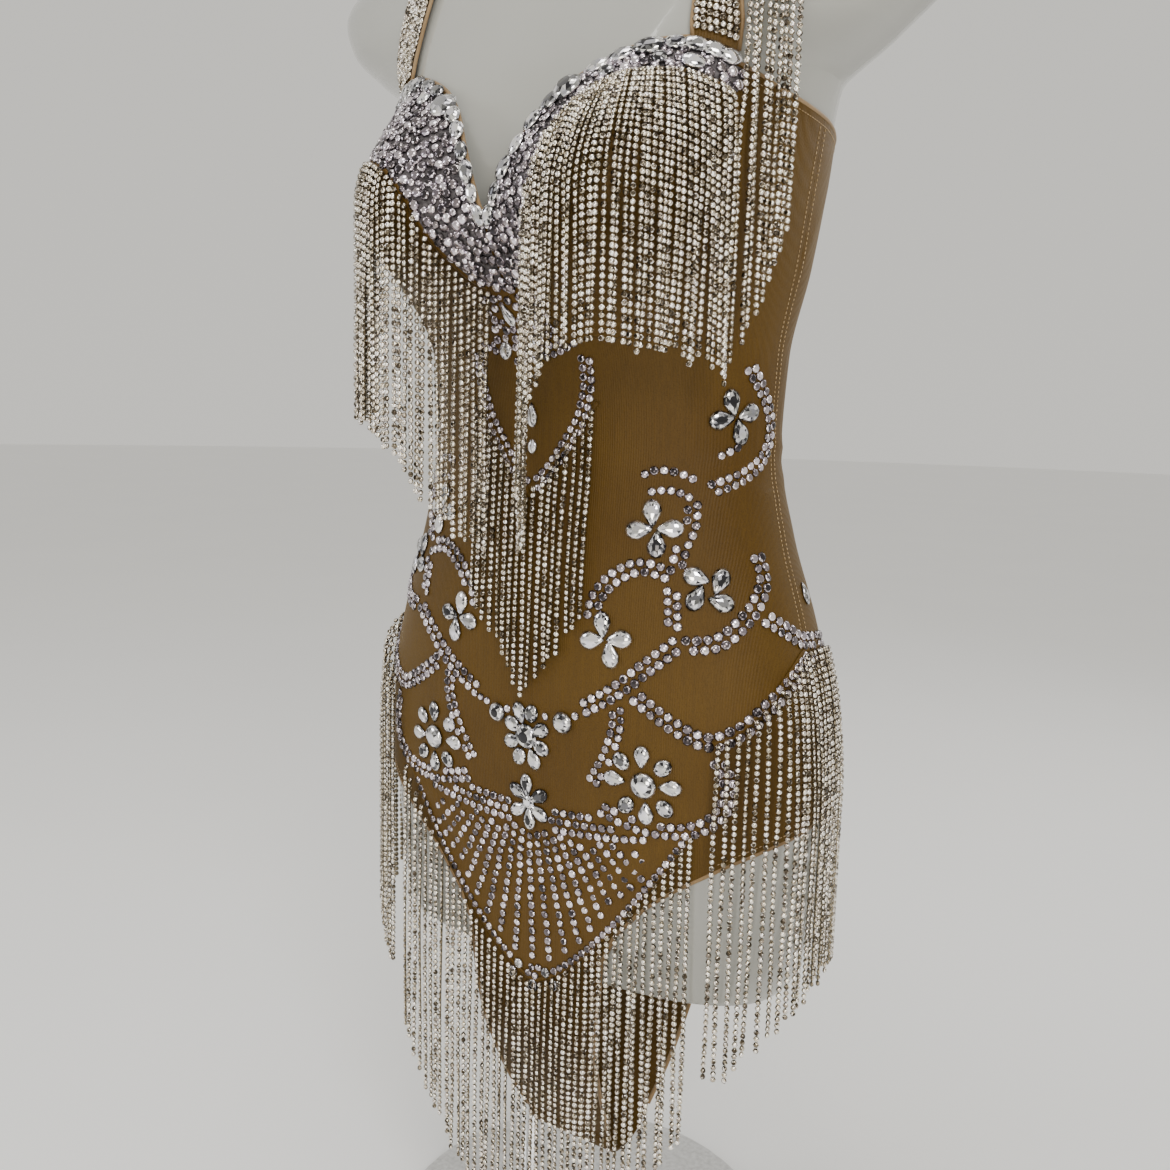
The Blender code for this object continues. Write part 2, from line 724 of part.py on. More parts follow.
def make_form(finish):
    """The torso form: one closed solid under the cloth, cut flat at the thighs and the neck."""
    bearings = both_sides(FRONT_BEARINGS[:-1]) + list(BACK_BEARINGS)
    bearings += [360 - b for b in reversed(BACK_BEARINGS[:-1])]
    points = [on_torso(b, z, False) for z in FORM_ROWS for b in bearings]
    columns = len(bearings)
    faces = []
    for r in range(len(FORM_ROWS) - 1):
        for c in range(columns):
            d = (c + 1) % columns
            faces.append((r * columns + c, r * columns + d, (r + 1) * columns + d, (r + 1) * columns + c))
    faces.append(tuple(reversed(range(columns))))
    faces.append(tuple((len(FORM_ROWS) - 1) * columns + c for c in range(columns)))
    return closed_body("form_torso", points, faces, finish)


def make_cylinder(name, x, radius, low, high, sides, finish, bevel=0.0):
    shape = bmesh.new()
    bmesh.ops.create_cone(shape, cap_ends=True, segments=sides, radius1=radius, radius2=radius,
                          depth=high - low)
    if bevel:
        rim = [e for e in shape.edges if min(v.co.z for v in e.verts) > 0]
        bmesh.ops.bevel(shape, geom=rim, offset=bevel, segments=2, affect="EDGES")
    mesh = bpy.data.meshes.new(name)
    shape.to_mesh(mesh)
    shape.free()
    mesh.materials.append(finish)
    mesh.shade_smooth()
    mesh.set_sharp_from_angle(angle=math.radians(40))
    body = bpy.data.objects.new(name, mesh)
    body.location = (x, 0.0, (low + high) / 2)
    bpy.context.scene.collection.objects.link(body)
    return body


def make_stand(finish):
    make_cylinder("stand_base", 0.0, BASE_RADIUS, 0.0, BASE_HEIGHT, 48, finish, BASE_BEVEL)
    make_cylinder("stand_pole", POLE_X, POLE_RADIUS, BASE_HEIGHT + SEAM_GAP, FORM_BOTTOM - SEAM_GAP, 24,
                  finish)


def main():
    clear_scene()
    cloth = material("tan mesh", (0.30, 0.19, 0.08), 0.55)
    chain = material("crystal chain", (0.80, 0.78, 0.72), 0.22, 0.9)
    crystal = material("crystal", (0.82, 0.84, 0.86), 0.12, 0.6)
    plastic = material("white gloss plastic", (0.80, 0.80, 0.78), 0.15)
    metal = material("brushed steel", (0.55, 0.55, 0.56), 0.3, 1.0)
    make_front_panel(cloth)
    make_back_panel(cloth)
    make_gusset(cloth)
    for side in (1, -1):
        make_cup(side, cloth)
        make_strap(side, cloth)
        make_cup_fringe(side, chain)
    make_shoulder_fringe(chain)
    make_waist_fringe(chain)
    make_hip_front_fringe(chain)
    make_hip_back_fringe(chain)
    for name, x, z, petals, reach, turn in FLOWERS:
        if not x:
            make_flower(name, x, z, petals, reach, turn, crystal)
            continue
        make_flower(name + "_left", x, z, petals, reach, turn, crystal)
        make_flower(name + "_right", -x, z, petals, reach, 180.0 - turn, crystal)
    make_form(plastic)
    make_stand(metal)


main()
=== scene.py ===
"""Looks of the fringed stage dress, its torso form and its stand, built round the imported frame.

Places on the cloth are given as a bearing in degrees (0 front, 90 wearer's left, 180 back)
and a height above the floor in metres.
"""

import math

import bmesh
import bpy
import numpy as np
from mathutils import Matrix, Vector


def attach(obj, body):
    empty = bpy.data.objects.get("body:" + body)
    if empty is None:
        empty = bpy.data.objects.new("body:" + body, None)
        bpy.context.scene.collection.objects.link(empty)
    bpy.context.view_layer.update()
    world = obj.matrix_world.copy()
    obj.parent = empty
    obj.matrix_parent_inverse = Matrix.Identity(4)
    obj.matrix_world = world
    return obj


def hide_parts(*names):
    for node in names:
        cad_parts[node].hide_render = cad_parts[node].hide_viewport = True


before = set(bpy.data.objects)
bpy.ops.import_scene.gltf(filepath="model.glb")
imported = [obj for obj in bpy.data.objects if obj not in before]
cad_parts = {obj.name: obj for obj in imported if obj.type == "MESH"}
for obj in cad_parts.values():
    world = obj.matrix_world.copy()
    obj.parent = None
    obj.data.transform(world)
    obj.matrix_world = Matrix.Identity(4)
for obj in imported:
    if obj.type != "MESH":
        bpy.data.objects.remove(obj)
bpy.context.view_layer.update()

# The cloth and its fit, as in the part
WALL = 0.0012
SEAM_GAP = 0.0003
FIT_GAP = 0.0010
CUP_PADDING = 0.0065
BUST_X = 0.088
BUST_Z = 0.785
BUST_DEPTH = 0.060
BUST_SPREAD = 0.052
BUST_RISE = 0.075
BUST_FALL = 0.050
CUP_SPREAD = 0.060
CUP_BRIDGE = 0.48
UP = np.array((0.0, 0.0, 1.0))
FORWARD = np.array((0.0, -1.0, 0.0))

# Torso sections: height, half width, front depth, back depth, squareness
SECTIONS = (
    (0.230, 0.160, 0.0715, 0.097, 2.70),
    (0.264, 0.164, 0.074, 0.102, 2.70),
    (0.340, 0.173, 0.079, 0.115, 2.65),
    (0.400, 0.177, 0.083, 0.119, 2.60),
    (0.460, 0.173, 0.088, 0.115, 2.50),
    (0.520, 0.160, 0.090, 0.102, 2.35),
    (0.580, 0.142, 0.089, 0.088, 2.25),
    (0.640, 0.131, 0.086, 0.075, 2.20),
    (0.700, 0.133, 0.092, 0.080, 2.20),
    (0.760, 0.144, 0.102, 0.096, 2.20),
    (0.820, 0.152, 0.102, 0.104, 2.25),
    (0.872, 0.160, 0.094, 0.104, 2.25),
    (0.900, 0.200, 0.086, 0.100, 2.20),
    (0.930, 0.238, 0.076, 0.092, 2.10),
    (0.956, 0.250, 0.066, 0.082, 2.00),
    (0.978, 0.232, 0.056, 0.070, 2.00),
    (1.000, 0.158, 0.050, 0.060, 2.00),
    (1.022, 0.088, 0.048, 0.054, 2.00),
    (1.045, 0.062, 0.048, 0.054, 2.00),
    (1.100, 0.056, 0.050, 0.054, 2.00),
)
FORM_BOTTOM = 0.264
FORM_TOP = 1.100

# Cut edges: bearing and height
TAIL_BEARING = 17.5
CUP_END = 52.5
NECKLINE = ((0, 0.775), (5, 0.812), (11, 0.842), (17.5, 0.860), (25, 0.871), (32, 0.877), (38.5, 0.8785),
            (52.5, 0.872))
CUP_SEAM = ((0, 0.735), (5, 0.727), (11, 0.718), (17.5, 0.711), (25, 0.707), (32, 0.714),
            (38.5, 0.736), (44, 0.770), (48.5, 0.815), (52.5, 0.866))
ARMHOLE = ((52.5, 0.866), (61, 0.860), (70, 0.854), (80, 0.850), (90, 0.847), (110, 0.840),
           (130, 0.834), (145, 0.828))
BACK_NECK = ((145, 0.828), (154, 0.790), (162.5, 0.758), (169, 0.740), (175, 0.732), (180, 0.730))
LEG_FRONT = ((TAIL_BEARING, 0.306), (25, 0.330), (32, 0.345), (39, 0.356), (52.5, 0.372), (70, 0.384),
             (90, 0.390))
LEG_BACK = ((90, 0.390), (110, 0.386), (130, 0.372), (145, 0.348), (154, 0.326), (162.5, 0.306))
BACK_END = 145.0
TAIL_TOP = 0.306
TAIL_WIDENS = 0.282
TAIL_LEAVES = 0.248
TAIL_END = 0.112
TAIL_LAST_ROW = 0.114
TAIL_STEP = 0.004
FRONT_TAIL = ((0.215, -0.0690, 0.051), (0.175, -0.0560, 0.047), (0.140, -0.0400, 0.043),
              (0.112, -0.0240, 0.038))
BACK_TAIL = ((0.215, 0.0920, 0.051), (0.175, 0.0740, 0.047), (0.140, 0.0530, 0.043),
             (0.112, 0.0320, 0.038))
TAIL_HALF = ((0.112, 0.038), (0.140, 0.043), (0.175, 0.047), (0.215, 0.051), (0.248, 0.055), (0.282, 0.058))
TAIL_LEAN = math.radians(20)
GUSSET_BOTTOM = 0.090

# Straps
STRAP_TOP_X = 0.112
STRAP_WIDTH = 0.026
STRAP_LIFT = 0.0008
STRAP_TOP_LIFT = 0.0030
STRAP_TURNS = (-8.0, 203.0)
STRAP_END_RISE = 0.0008
SHOULDER_TURN = 80.0
SHOULDER_Z = 0.900

# Fringe lines
CUP_FRINGE = {"from": 4.0, "to": 55.5, "pitch": 0.0043, "drop": 0.090, "length": 0.170, "longest": 0.19}
WAIST_V = {"half_width": 0.049, "tip_z": 0.604, "end_z": 0.668, "strands": 17, "length": 0.139,
           "longest": 0.16, "uneven": 0.02, "seeds": (8, 102), "samples": 41}
HIP_V = {"half_width": 0.125, "tip_z": 0.252, "end_z": 0.394, "fullness": 1.45, "strands": 44,
         "length": 0.222, "longest": 0.25, "uneven": 0.012, "seeds": (5, 103), "samples": 81}
HIP_LINE = ((45.5, 0.452), (53, 0.459), (64, 0.475), (78, 0.496), (90, 0.507), (110, 0.502),
            (135, 0.476), (158, 0.446), (180, 0.435))
HIP_BACK = {"pitch": 0.0058, "length": 0.238, "longest": 0.26}
SHOULDER_FRINGE = {"strip_x": 0.119, "from_x": 0.139, "to_x": 0.170, "strands": 9, "inner_z": 0.690,
                   "outer_z": 0.765, "longest": 0.34}

# Chain: its stones, how strands are hung, and how far each strays
STONE = 0.0042
STONE_PITCH = 0.0043
STONE_SINK = 0.0006
ROOT_LIFT = 0.0022
HANG_STEP = 0.003
HANG_NUDGE = 0.0003
HANG_CLEARANCE = 0.0035
SWAY = 0.0011
WAVE = 0.0005
TWIST = 0.22
TWIST_SWING = 0.5
FLOOR_CLEARANCE = 0.014

# Rods behind the stones, strips and bindings: width, height and sides; then the stitches
ROD = (0.0008, 0.0006, 4)
ROD_SINK = 0.0004
TAPE = (0.0036, 0.0012, 6)
TAPE_LIFT = 0.0006
SHOULDER_TAPE = (0.005, 0.0020, 6)
BINDING = (0.0030, 0.0024, 8)
TAIL_BINDING = (0.0036, 0.0024, 8)
BINDING_RISE = 0.0006
LEG_BINDING_DROP = 0.0004
STITCH_INSET = 0.0045
STITCH_PITCH = 0.0030
STITCH_SIZE = (0.00030, 0.00105, 0.00035)

# Glued stones: spread of the painted glint tones, tilt, and how close two may stand as a share of touching
STONE_GLINT_TONES = 0.14
FACET_GLINT_TONES = 0.30
GLUE_LIFT = -0.0001
GLUE_TILT = 0.10
GLUE_HEIGHT = 0.92
SCROLL_SAMPLES = 160
SCROLL_SLACK = 0.88
ROW_PITCH = 1.03
ROW_GAP = 0.94
FAN_SLACK = 0.92
HIP_ROW_SLACK = 0.94
CRUST_SLACK = 0.80
CRUST_WIDTHS = ((0.0072, 900), (0.0062, 2600), (0.0052, 4200), (0.0042, 4600))
CRUST_TILT = 0.17
BORDER_STONE = 0.0064

CREASE_LIMIT = 0.0022
SIDES = {1: "left", -1: "right"}


def curve(rows, column):
    """A smooth curve through a table's rows that never overshoots them."""
    xs = np.array([row[0] for row in rows], float)
    ys = np.array([row[column] for row in rows], float)
    steps = np.diff(ys) / np.diff(xs)
    slopes = np.concatenate((steps[:1], np.zeros(len(xs) - 2), steps[-1:]))
    for i in range(1, len(xs) - 1):
        before, after = steps[i - 1], steps[i]
        slopes[i] = 2 * before * after / (before + after) if before * after > 0 else 0.0

    def value(x):
        x = np.asarray(x, float)
        i = np.clip(np.searchsorted(xs, x, side="right") - 1, 0, len(xs) - 2)
        span = xs[i + 1] - xs[i]
        t = np.clip((x - xs[i]) / span, 0.0, 1.0)
        ends = slopes[i] * span * t * (1 - t) ** 2 - slopes[i + 1] * span * t * t * (1 - t)
        return ys[i] + (ys[i + 1] - ys[i]) * t * t * (3 - 2 * t) + ends

    return value


SECTION = [curve(SECTIONS, column) for column in range(1, 5)]
# Lower edge of the crust on each cup
CRUST_LOW_LEFT = curve(((0, 0.7365), (7, 0.746), (11, 0.768), (14, 0.797), (17, 0.826), (22, 0.846),
                        (30, 0.856), (40, 0.858), (50, 0.853), (57, 0.846)), 1)
CRUST_LOW_RIGHT = curve(((0, 0.7365), (8, 0.744), (14, 0.764), (19, 0.790), (26, 0.808), (34, 0.816),
                         (44, 0.820), (52, 0.822), (57, 0.822)), 1)
NECK_Z = curve(NECKLINE, 1)
CUP_SEAM_Z = curve(CUP_SEAM, 1)
ARMHOLE_Z = curve(ARMHOLE, 1)
BACK_NECK_Z = curve(BACK_NECK, 1)
LEG_FRONT_Z = curve(LEG_FRONT, 1)
LEG_BACK_Z = curve(LEG_BACK, 1)
HIP_LINE_Z = curve(HIP_LINE, 1)
TAIL_HALF_X = curve(TAIL_HALF, 1)


def section(z):
    return [value(z) for value in SECTION]


def folded(bearing):
    """The bearing on the wearer's left that matches one that runs on past the back."""
    return np.where(bearing <= 180, bearing, 360 - bearing)


def bust(x, z, worn):
    """How far the bust stands forward; a worn cup bridges the hollow between and adds its padding."""
    x = np.abs(x)
    across = np.exp(-((x - BUST_X) / BUST_SPREAD) ** 2) + np.exp(-((x + BUST_X) / BUST_SPREAD) ** 2)
    tall = np.where(z > BUST_Z, BUST_RISE, BUST_FALL)
    up = np.exp(-((z - BUST_Z) / tall) ** 2)
    if not worn:
        return BUST_DEPTH * across * up
    bridged = np.maximum(across, 1 - (1 - across) * CUP_BRIDGE)
    wide = np.maximum(across, np.exp(-((x - BUST_X) / CUP_SPREAD) ** 2))
    return (BUST_DEPTH + CUP_PADDING) * np.where(x < BUST_X, bridged, wide) * up


def on_torso(bearing, z, worn=True):
    bearing, z = np.broadcast_arrays(np.asarray(bearing, float), np.asarray(z, float))
    half_width, front, back, square = section(z)
    turn = np.radians(bearing)
    power = 2 / square
    x = half_width * np.sign(np.sin(turn)) * np.abs(np.sin(turn)) ** power
    reach = np.abs(np.cos(turn)) ** power
    y = np.where(np.cos(turn) >= 0, -front * reach - bust(x, z, worn) * reach * (2 - reach), back * reach)
    return np.stack((x, y, z), axis=-1)


def unit(v):
    return v / np.maximum(np.linalg.norm(v, axis=-1, keepdims=True), 1e-12)


def normal_at(bearing, z):
    across = on_torso(bearing + 0.4, z) - on_torso(bearing - 0.4, z)
    up = on_torso(bearing, z + 0.001) - on_torso(bearing, z - 0.001)
    return unit(np.cross(across, up))


def skin(bearing, z, out=0.0):
    """Points of the worn cloth's inner face, or out from it."""
    bearing, z = np.asarray(bearing, float), np.asarray(z, float)
    out = np.asarray(out, float)
    return on_torso(bearing, z) + normal_at(bearing, z) * (FIT_GAP + out)[..., None]


def bearing_of(x, z):
    """The front bearing of a point at a distance from the centre line."""
    half_width, _, _, square = section(z)
    share = np.minimum(np.abs(x) / half_width, 1.0)
    return np.degrees(np.arcsin(share ** (square / 2))) * np.sign(x)


def covered(points, clear):
    """Which points lie inside the cloth grown by a clearance."""
    x, y, z = points[..., 0], points[..., 1], points[..., 2]
    half_width, front, back, square = section(z)
    side = np.abs(x) / (half_width + clear)
    reach = np.clip(1 - side ** square, 0, 1) ** (1 / square)
    ahead = front * reach + bust(x, z, True) * reach * (2 - reach) + clear / np.maximum(reach, 0.3)
    inside = np.where(y < 0, -y < ahead, y < (back + clear) * reach)
    return inside & (side < 1)


def shoulder_point(x, turn, out):
    """Where rays in the planes x leave the torso; the turn runs 0 front, 90 up, 180 back."""
    x, turn = np.broadcast_arrays(np.asarray(x, float), np.radians(np.asarray(turn, float)))
    ray = np.stack((x * 0, -np.cos(turn), np.sin(turn)), axis=-1)
    start = np.stack((x, x * 0, x * 0 + SHOULDER_Z), axis=-1)
    near = np.zeros(x.shape)
    far = near + 0.20
    for _ in range(30):
        middle = (near + far) / 2
        inside = covered(start + ray * middle[..., None], 0.0)
        near = np.where(inside, middle, near)
        far = np.where(inside, far, middle)
    return start + ray * (near + out)[..., None]


# ---- meshes


def link(name, mesh, finishes, smooth=True):
    for finish in finishes:
        mesh.materials.append(finish)
    if smooth:
        mesh.shade_smooth()
        mesh.set_sharp_from_angle(angle=math.radians(50))
    body = bpy.data.objects.new(name, mesh)
    bpy.context.scene.collection.objects.link(body)
    return body


def array_mesh(name, points, loops, counts, kinds=None, glint_tones=None):
    """A mesh from flat arrays of corners, with a material index and a painted glint tone for each face."""
    mesh = bpy.data.meshes.new(name)
    mesh.vertices.add(len(points))
    mesh.vertices.foreach_set("co", np.asarray(points, np.float32).ravel())
    mesh.loops.add(len(loops))
    mesh.loops.foreach_set("vertex_index", np.asarray(loops, np.int32))
    mesh.polygons.add(len(counts))
    starts = np.concatenate(([0], np.cumsum(counts)[:-1]))
    mesh.polygons.foreach_set("loop_start", starts.astype(np.int32))
    if kinds is not None:
        mesh.polygons.foreach_set("material_index", np.asarray(kinds, np.int32))
    if glint_tones is not None:
        glint_tone = mesh.attributes.new("glint_tone", "FLOAT", "FACE")
        glint_tone.data.foreach_set("value", np.asarray(glint_tones, np.float32))
    mesh.update(calc_edges=True)
    return mesh


def grid_cells(rows, columns):
    r, c = np.meshgrid(np.arange(rows - 1), np.arange(columns - 1), indexing="ij")
    a = (r * columns + c).ravel()
    return np.stack((a, a + 1, a + columns + 1, a + columns), axis=1)


def wall_mesh(name, inner, outer, cells):
    """A closed wall between two faces that share their cells."""
    count = len(inner)
    pairs = np.concatenate([cells[:, [i, (i + 1) % 4]] for i in range(4)])
    seen = set(map(tuple, pairs))
    rim = np.array([(b, a, count + a, count + b) for a, b in pairs if (b, a) not in seen])
    faces = np.concatenate((cells, count + cells[:, ::-1], rim))
    shape = bmesh.new()
    mesh = array_mesh(name, np.concatenate((inner, outer)), faces.ravel(), np.full(len(faces), 4))
    shape.from_mesh(mesh)
    bmesh.ops.recalc_face_normals(shape, faces=shape.faces)
    shape.to_mesh(mesh)
    shape.free()
    return mesh


def gem(sides, outline, levels):
    """A faceted stone on a metal rim: rings (share of the outline, height, half step) from the back up."""
    angles = 2 * math.pi * np.arange(sides) / sides
    points = []
    for share, height, half_step in levels:
        x, y = outline(angles + half_step * math.pi / sides)
        points.append(np.stack((x * share, y * share, np.full(sides, height)), axis=1))
    faces = [list(range(sides))[::-1]]
    kinds = [0]
    for ring in range(len(levels) - 1):
        low, high = ring * sides, (ring + 1) * sides
        turned = levels[ring + 1][2] - levels[ring][2]
        for i in range(sides):
            j = (i + 1) % sides
            if not turned:
                faces.append([low + i, low + j, high + j, high + i])
                kinds.append(0)
            elif turned > 0:
                faces += [[low + i, low + j, high + i], [low + j, high + j, high + i]]
                kinds += [1, 1]
            else:
                faces += [[low + i, high + j, high + i], [low + i, low + j, high + j]]
                kinds += [1, 1]
    faces.append([(len(levels) - 1) * sides + i for i in range(sides)])
    kinds.append(1)
    return {
        "points": np.concatenate(points),
        "loops": np.array([i for face in faces for i in face]),
        "counts": np.array([len(face) for face in faces]),
        "kinds": np.array(kinds),
    }


def round_outline(angle):
    return np.cos(angle), np.sin(angle)


def pear_outline(angle):
    top = np.maximum(np.sin(angle), 0.0)
    return np.cos(angle) * (1 - 0.42 * top), np.sin(angle) + 0.22 * top ** 3


SMALL_LEVELS = ((0.92, 0.0, 0), (1.0, 0.24, 0), (0.64, 0.56, 1))
LARGE_LEVELS = ((0.94, 0.0, 0), (1.04, 0.24, 0), (0.80, 0.48, 1), (0.46, 0.66, 0))
CHAIN_STONE = gem(6, round_outline, ((0.80, 0.0, 0), (1.0, 0.38, 0), (0.62, 0.70, 1)))
ROUND_STONE = gem(8, round_outline, SMALL_LEVELS)
BIG_ROUND = gem(12, round_outline, LARGE_LEVELS)
PEAR = gem(12, pear_outline, LARGE_LEVELS)
STITCH = gem(6, round_outline, ((0.8, 0.0, 0), (1.0, 0.5, 0), (0.6, 1.0, 0)))


def stamp(shape, places, axes, sizes, rng, first):
    """Many copies of one shape: points, loops, counts, kinds and a painted glint tone for every facet."""
    count = len(places)
    points = places[:, None, :] + (shape["points"][None] * sizes[:, None, :]) @ axes
    step = len(shape["points"])
    loops = (shape["loops"][None] + first + step * np.arange(count)[:, None]).ravel()
    faces = len(shape["counts"])
    # each stone and each facet gets a random painted glint tone: bright facets are painted glints, dark
    # facets painted dark reflections
    stone = rng.normal(0.0, STONE_GLINT_TONES, (count, 1))
    glint_tones = np.clip(0.5 + stone + rng.normal(0.0, FACET_GLINT_TONES, (count, faces)), 0.0, 1.0)
    return (points.reshape(-1, 3), loops, np.tile(shape["counts"], count),
            np.tile(shape["kinds"], count), glint_tones.ravel())


def joined(name, stamps, finishes, raw=()):
    """One object from stamped copies and raw meshes (points, quads, material index)."""
    points, loops, counts, kinds, glint_tones = [], [], [], [], []
    first = 0
    for copies in stamps:
        made = stamp(*copies, first)
        first += len(made[0])
        for kept, new in zip((points, loops, counts, kinds, glint_tones), made):
            kept.append(new)
    for body, quads, kind in raw:
        points.append(body)
        loops.append(np.asarray(quads).ravel() + first)
        counts.append(np.full(len(quads), 4))
        kinds.append(np.full(len(quads), kind))
        glint_tones.append(np.full(len(quads), 0.5))
        first += len(body)
    mesh = array_mesh(name, *(np.concatenate(part) for part in (points, loops, counts, kinds, glint_tones)))
    return link(name, mesh, finishes, smooth=False)


def seat(bearing, z, turn=0.0, out=0.0, tilt=None):
    """Places on the cloth's outer face, and their axes across, up and out as rows."""
    bearing, z = np.broadcast_arrays(np.asarray(bearing, float), np.asarray(z, float))
    normal = normal_at(bearing, z)
    if tilt is not None:
        normal = unit(normal + tilt)
    across = unit(np.cross(UP, normal))
    up = np.cross(normal, across)
    c, s = np.cos(turn), np.sin(turn)
    c = np.broadcast_to(c, bearing.shape)[..., None]
    s = np.broadcast_to(s, bearing.shape)[..., None]
    return skin(bearing, z, WALL + out), np.stack((across * c + up * s, up * c - across * s, normal), axis=1)


def tube(path, normals, width, height, sides):
    """A flattened tube along a path, its flat side along the normals' plane: points and quads."""
    path = np.asarray(path)
    ahead = np.roll(path, -1, axis=0) - np.roll(path, 1, axis=0)
    ahead[0] = path[1] - path[0]
    ahead[-1] = path[-1] - path[-2]
    ahead = unit(ahead)
    out = unit(normals - ahead * (normals * ahead).sum(1, keepdims=True))
    across = np.cross(ahead, out)
    angles = 2 * math.pi * np.arange(sides) / sides
    ring = (across[:, None, :] * np.cos(angles)[None, :, None] * width / 2
            + out[:, None, :] * np.sin(angles)[None, :, None] * height / 2)
    points = (path[:, None, :] + ring).reshape(-1, 3)
    quads = []
    rows = len(path)
    for r in range(rows - 1):
        low, high = r * sides, (r + 1) * sides
        quads += [(low + i, low + (i + 1) % sides, high + (i + 1) % sides, high + i) for i in range(sides)]
    for start in (0, (rows - 1) * sides):
        ends = [(start + i, start + i + 1, start + sides - 2 - i, start + sides - 1 - i)
                for i in range(sides // 2 - 1)]
        quads += [q[::-1] for q in ends] if start == 0 else ends
    return points, np.array(quads)


def runs_of(path):
    return np.concatenate(([0.0], np.cumsum(np.linalg.norm(np.diff(path, axis=0), axis=1))))


def paced(path, pitch, start=0.0, end=None):
    """Shares of a path's points at even distances along it."""
    runs = runs_of(path)
    end = runs[-1] if end is None else min(end, runs[-1])
    count = max(int((end - start) / pitch), 1)
    at = start + pitch * (np.arange(count) + 0.5)
    return np.interp(at, runs, np.arange(len(path)))


def pick(values, at):
    """Values of a table of rows at fractional row numbers."""
    values = np.asarray(values, float)
    rows = np.arange(len(values))
    if values.ndim == 1:
        return np.interp(at, rows, values)
    return np.stack([np.interp(at, rows, values[:, k]) for k in range(values.shape[1])], axis=1)


# ---- materials


class Finish:
    """A procedural material and short ways to add its nodes."""

    def __init__(self, name, roughness, metallic=0.0, **inputs):
        self.made = bpy.data.materials.new(name)
        self.made.use_nodes = True
        self.nodes = self.made.node_tree.nodes
        self.links = self.made.node_tree.links
        self.surface = self.nodes["Principled BSDF"]
        self.surface.inputs["Roughness"].default_value = roughness
        self.surface.inputs["Metallic"].default_value = metallic
        for key, value in inputs.items():
            self.surface.inputs[key.replace("_", " ")].default_value = value

    def node(self, kind, **settings):
        made = self.nodes.new(kind)
        for key, value in settings.items():
            if hasattr(made, key):
                setattr(made, key, value)
            else:
                made.inputs[key.replace("_", " ")].default_value = value
        return made

    def link(self, start, end):
        self.links.new(start, end)
        return self

    def place(self, scale=(1.0, 1.0, 1.0)):
        coordinates = self.node("ShaderNodeTexCoord")
        mapping = self.node("ShaderNodeMapping")
        mapping.inputs["Scale"].default_value = scale
        self.link(coordinates.outputs["Object"], mapping.inputs["Vector"])
        return mapping.outputs["Vector"]

    def noise(self, scale, detail=2.0, stretch=(1.0, 1.0, 1.0)):
        made = self.node("ShaderNodeTexNoise", Scale=scale, Detail=detail)
        self.link(self.place(stretch), made.inputs["Vector"])
        return made.outputs["Fac"]

    def ramp(self, value, *stops):
        made = self.node("ShaderNodeValToRGB")
        elements = made.color_ramp.elements
        while len(elements) < len(stops):
            elements.new(0.5)
        for element, (where, colour) in zip(elements, stops):
            element.position = where
            element.color = (*colour, 1.0)
        self.link(value, made.inputs["Fac"])
        return made.outputs["Color"]

    def multiply(self, share, one, two):
        """One colour times another, as far as the share says."""
        made = self.node("ShaderNodeMix", data_type="RGBA", blend_type="MULTIPLY")
        sockets = {socket.name: socket for socket in made.inputs if socket.enabled}
        sockets["Factor"].default_value = share
        self.link(one, sockets["A"])
        self.link(two, sockets["B"])
        return next(socket for socket in made.outputs if socket.enabled)

    def sum(self, one, two, share):
        """One height and a share of another."""
        part = self.node("ShaderNodeMath", operation="MULTIPLY")
        part.inputs[1].default_value = share
        self.link(two, part.inputs[0])
        made = self.node("ShaderNodeMath", operation="ADD")
        self.link(one, made.inputs[0])
        self.link(part.outputs[0], made.inputs[1])
        return made.outputs[0]

    def colour(self, value):
        self.link(value, self.surface.inputs["Base Color"])
        return self

    def rough(self, value, low, high):
        made = self.node("ShaderNodeMapRange")
        made.inputs["To Min"].default_value = low
        made.inputs["To Max"].default_value = high
        self.link(value, made.inputs["Value"])
        self.link(made.outputs["Result"], self.surface.inputs["Roughness"])
        return self

    def bump(self, value, depth, strength=1.0):
        made = self.node("ShaderNodeBump", Strength=strength, Distance=depth)
        self.link(value, made.inputs["Height"])
        self.link(made.outputs["Normal"], self.surface.inputs["Normal"])
        return self


def power_mesh():
    """Tan stretch net: fine ribs up the cloth, tiny holes between them, a soft satin sheen."""
    made = Finish("power mesh", 0.50, 0.0, Sheen_Weight=0.10, Sheen_Roughness=0.40, Specular_IOR_Level=0.16)
    made.surface.inputs["Sheen Tint"].default_value = (0.80, 0.60, 0.32, 1.0)
    broad = made.noise(7.0, 3.0)
    streak = made.noise(60.0, 2.0, (6.0, 6.0, 0.35))
    tan = made.ramp(broad, (0.30, (0.067, 0.0335, 0.0032)), (0.70, (0.092, 0.0500, 0.0070)))
    ribs = made.node("ShaderNodeTexWave", Scale=210.0, Distortion=0.6, bands_direction="X")
    made.link(made.place(), ribs.inputs["Vector"])
    holes = made.node("ShaderNodeTexVoronoi", Scale=900.0)
    made.link(made.place(), holes.inputs["Vector"])
    net = made.ramp(holes.outputs["Distance"], (0.18, (0.62, 0.58, 0.52)), (0.50, (1.0, 1.0, 1.0)))
    lit = made.multiply(0.55, tan, net)
    lines = made.ramp(streak, (0.35, (0.88, 0.87, 0.85)), (0.65, (1.06, 1.05, 1.03)))
    made.colour(made.multiply(0.5, lit, lines))
    made.rough(streak, 0.46, 0.56)
    return made.bump(made.sum(ribs.outputs["Fac"], holes.outputs["Distance"], 0.8), 0.00022, 0.6).made


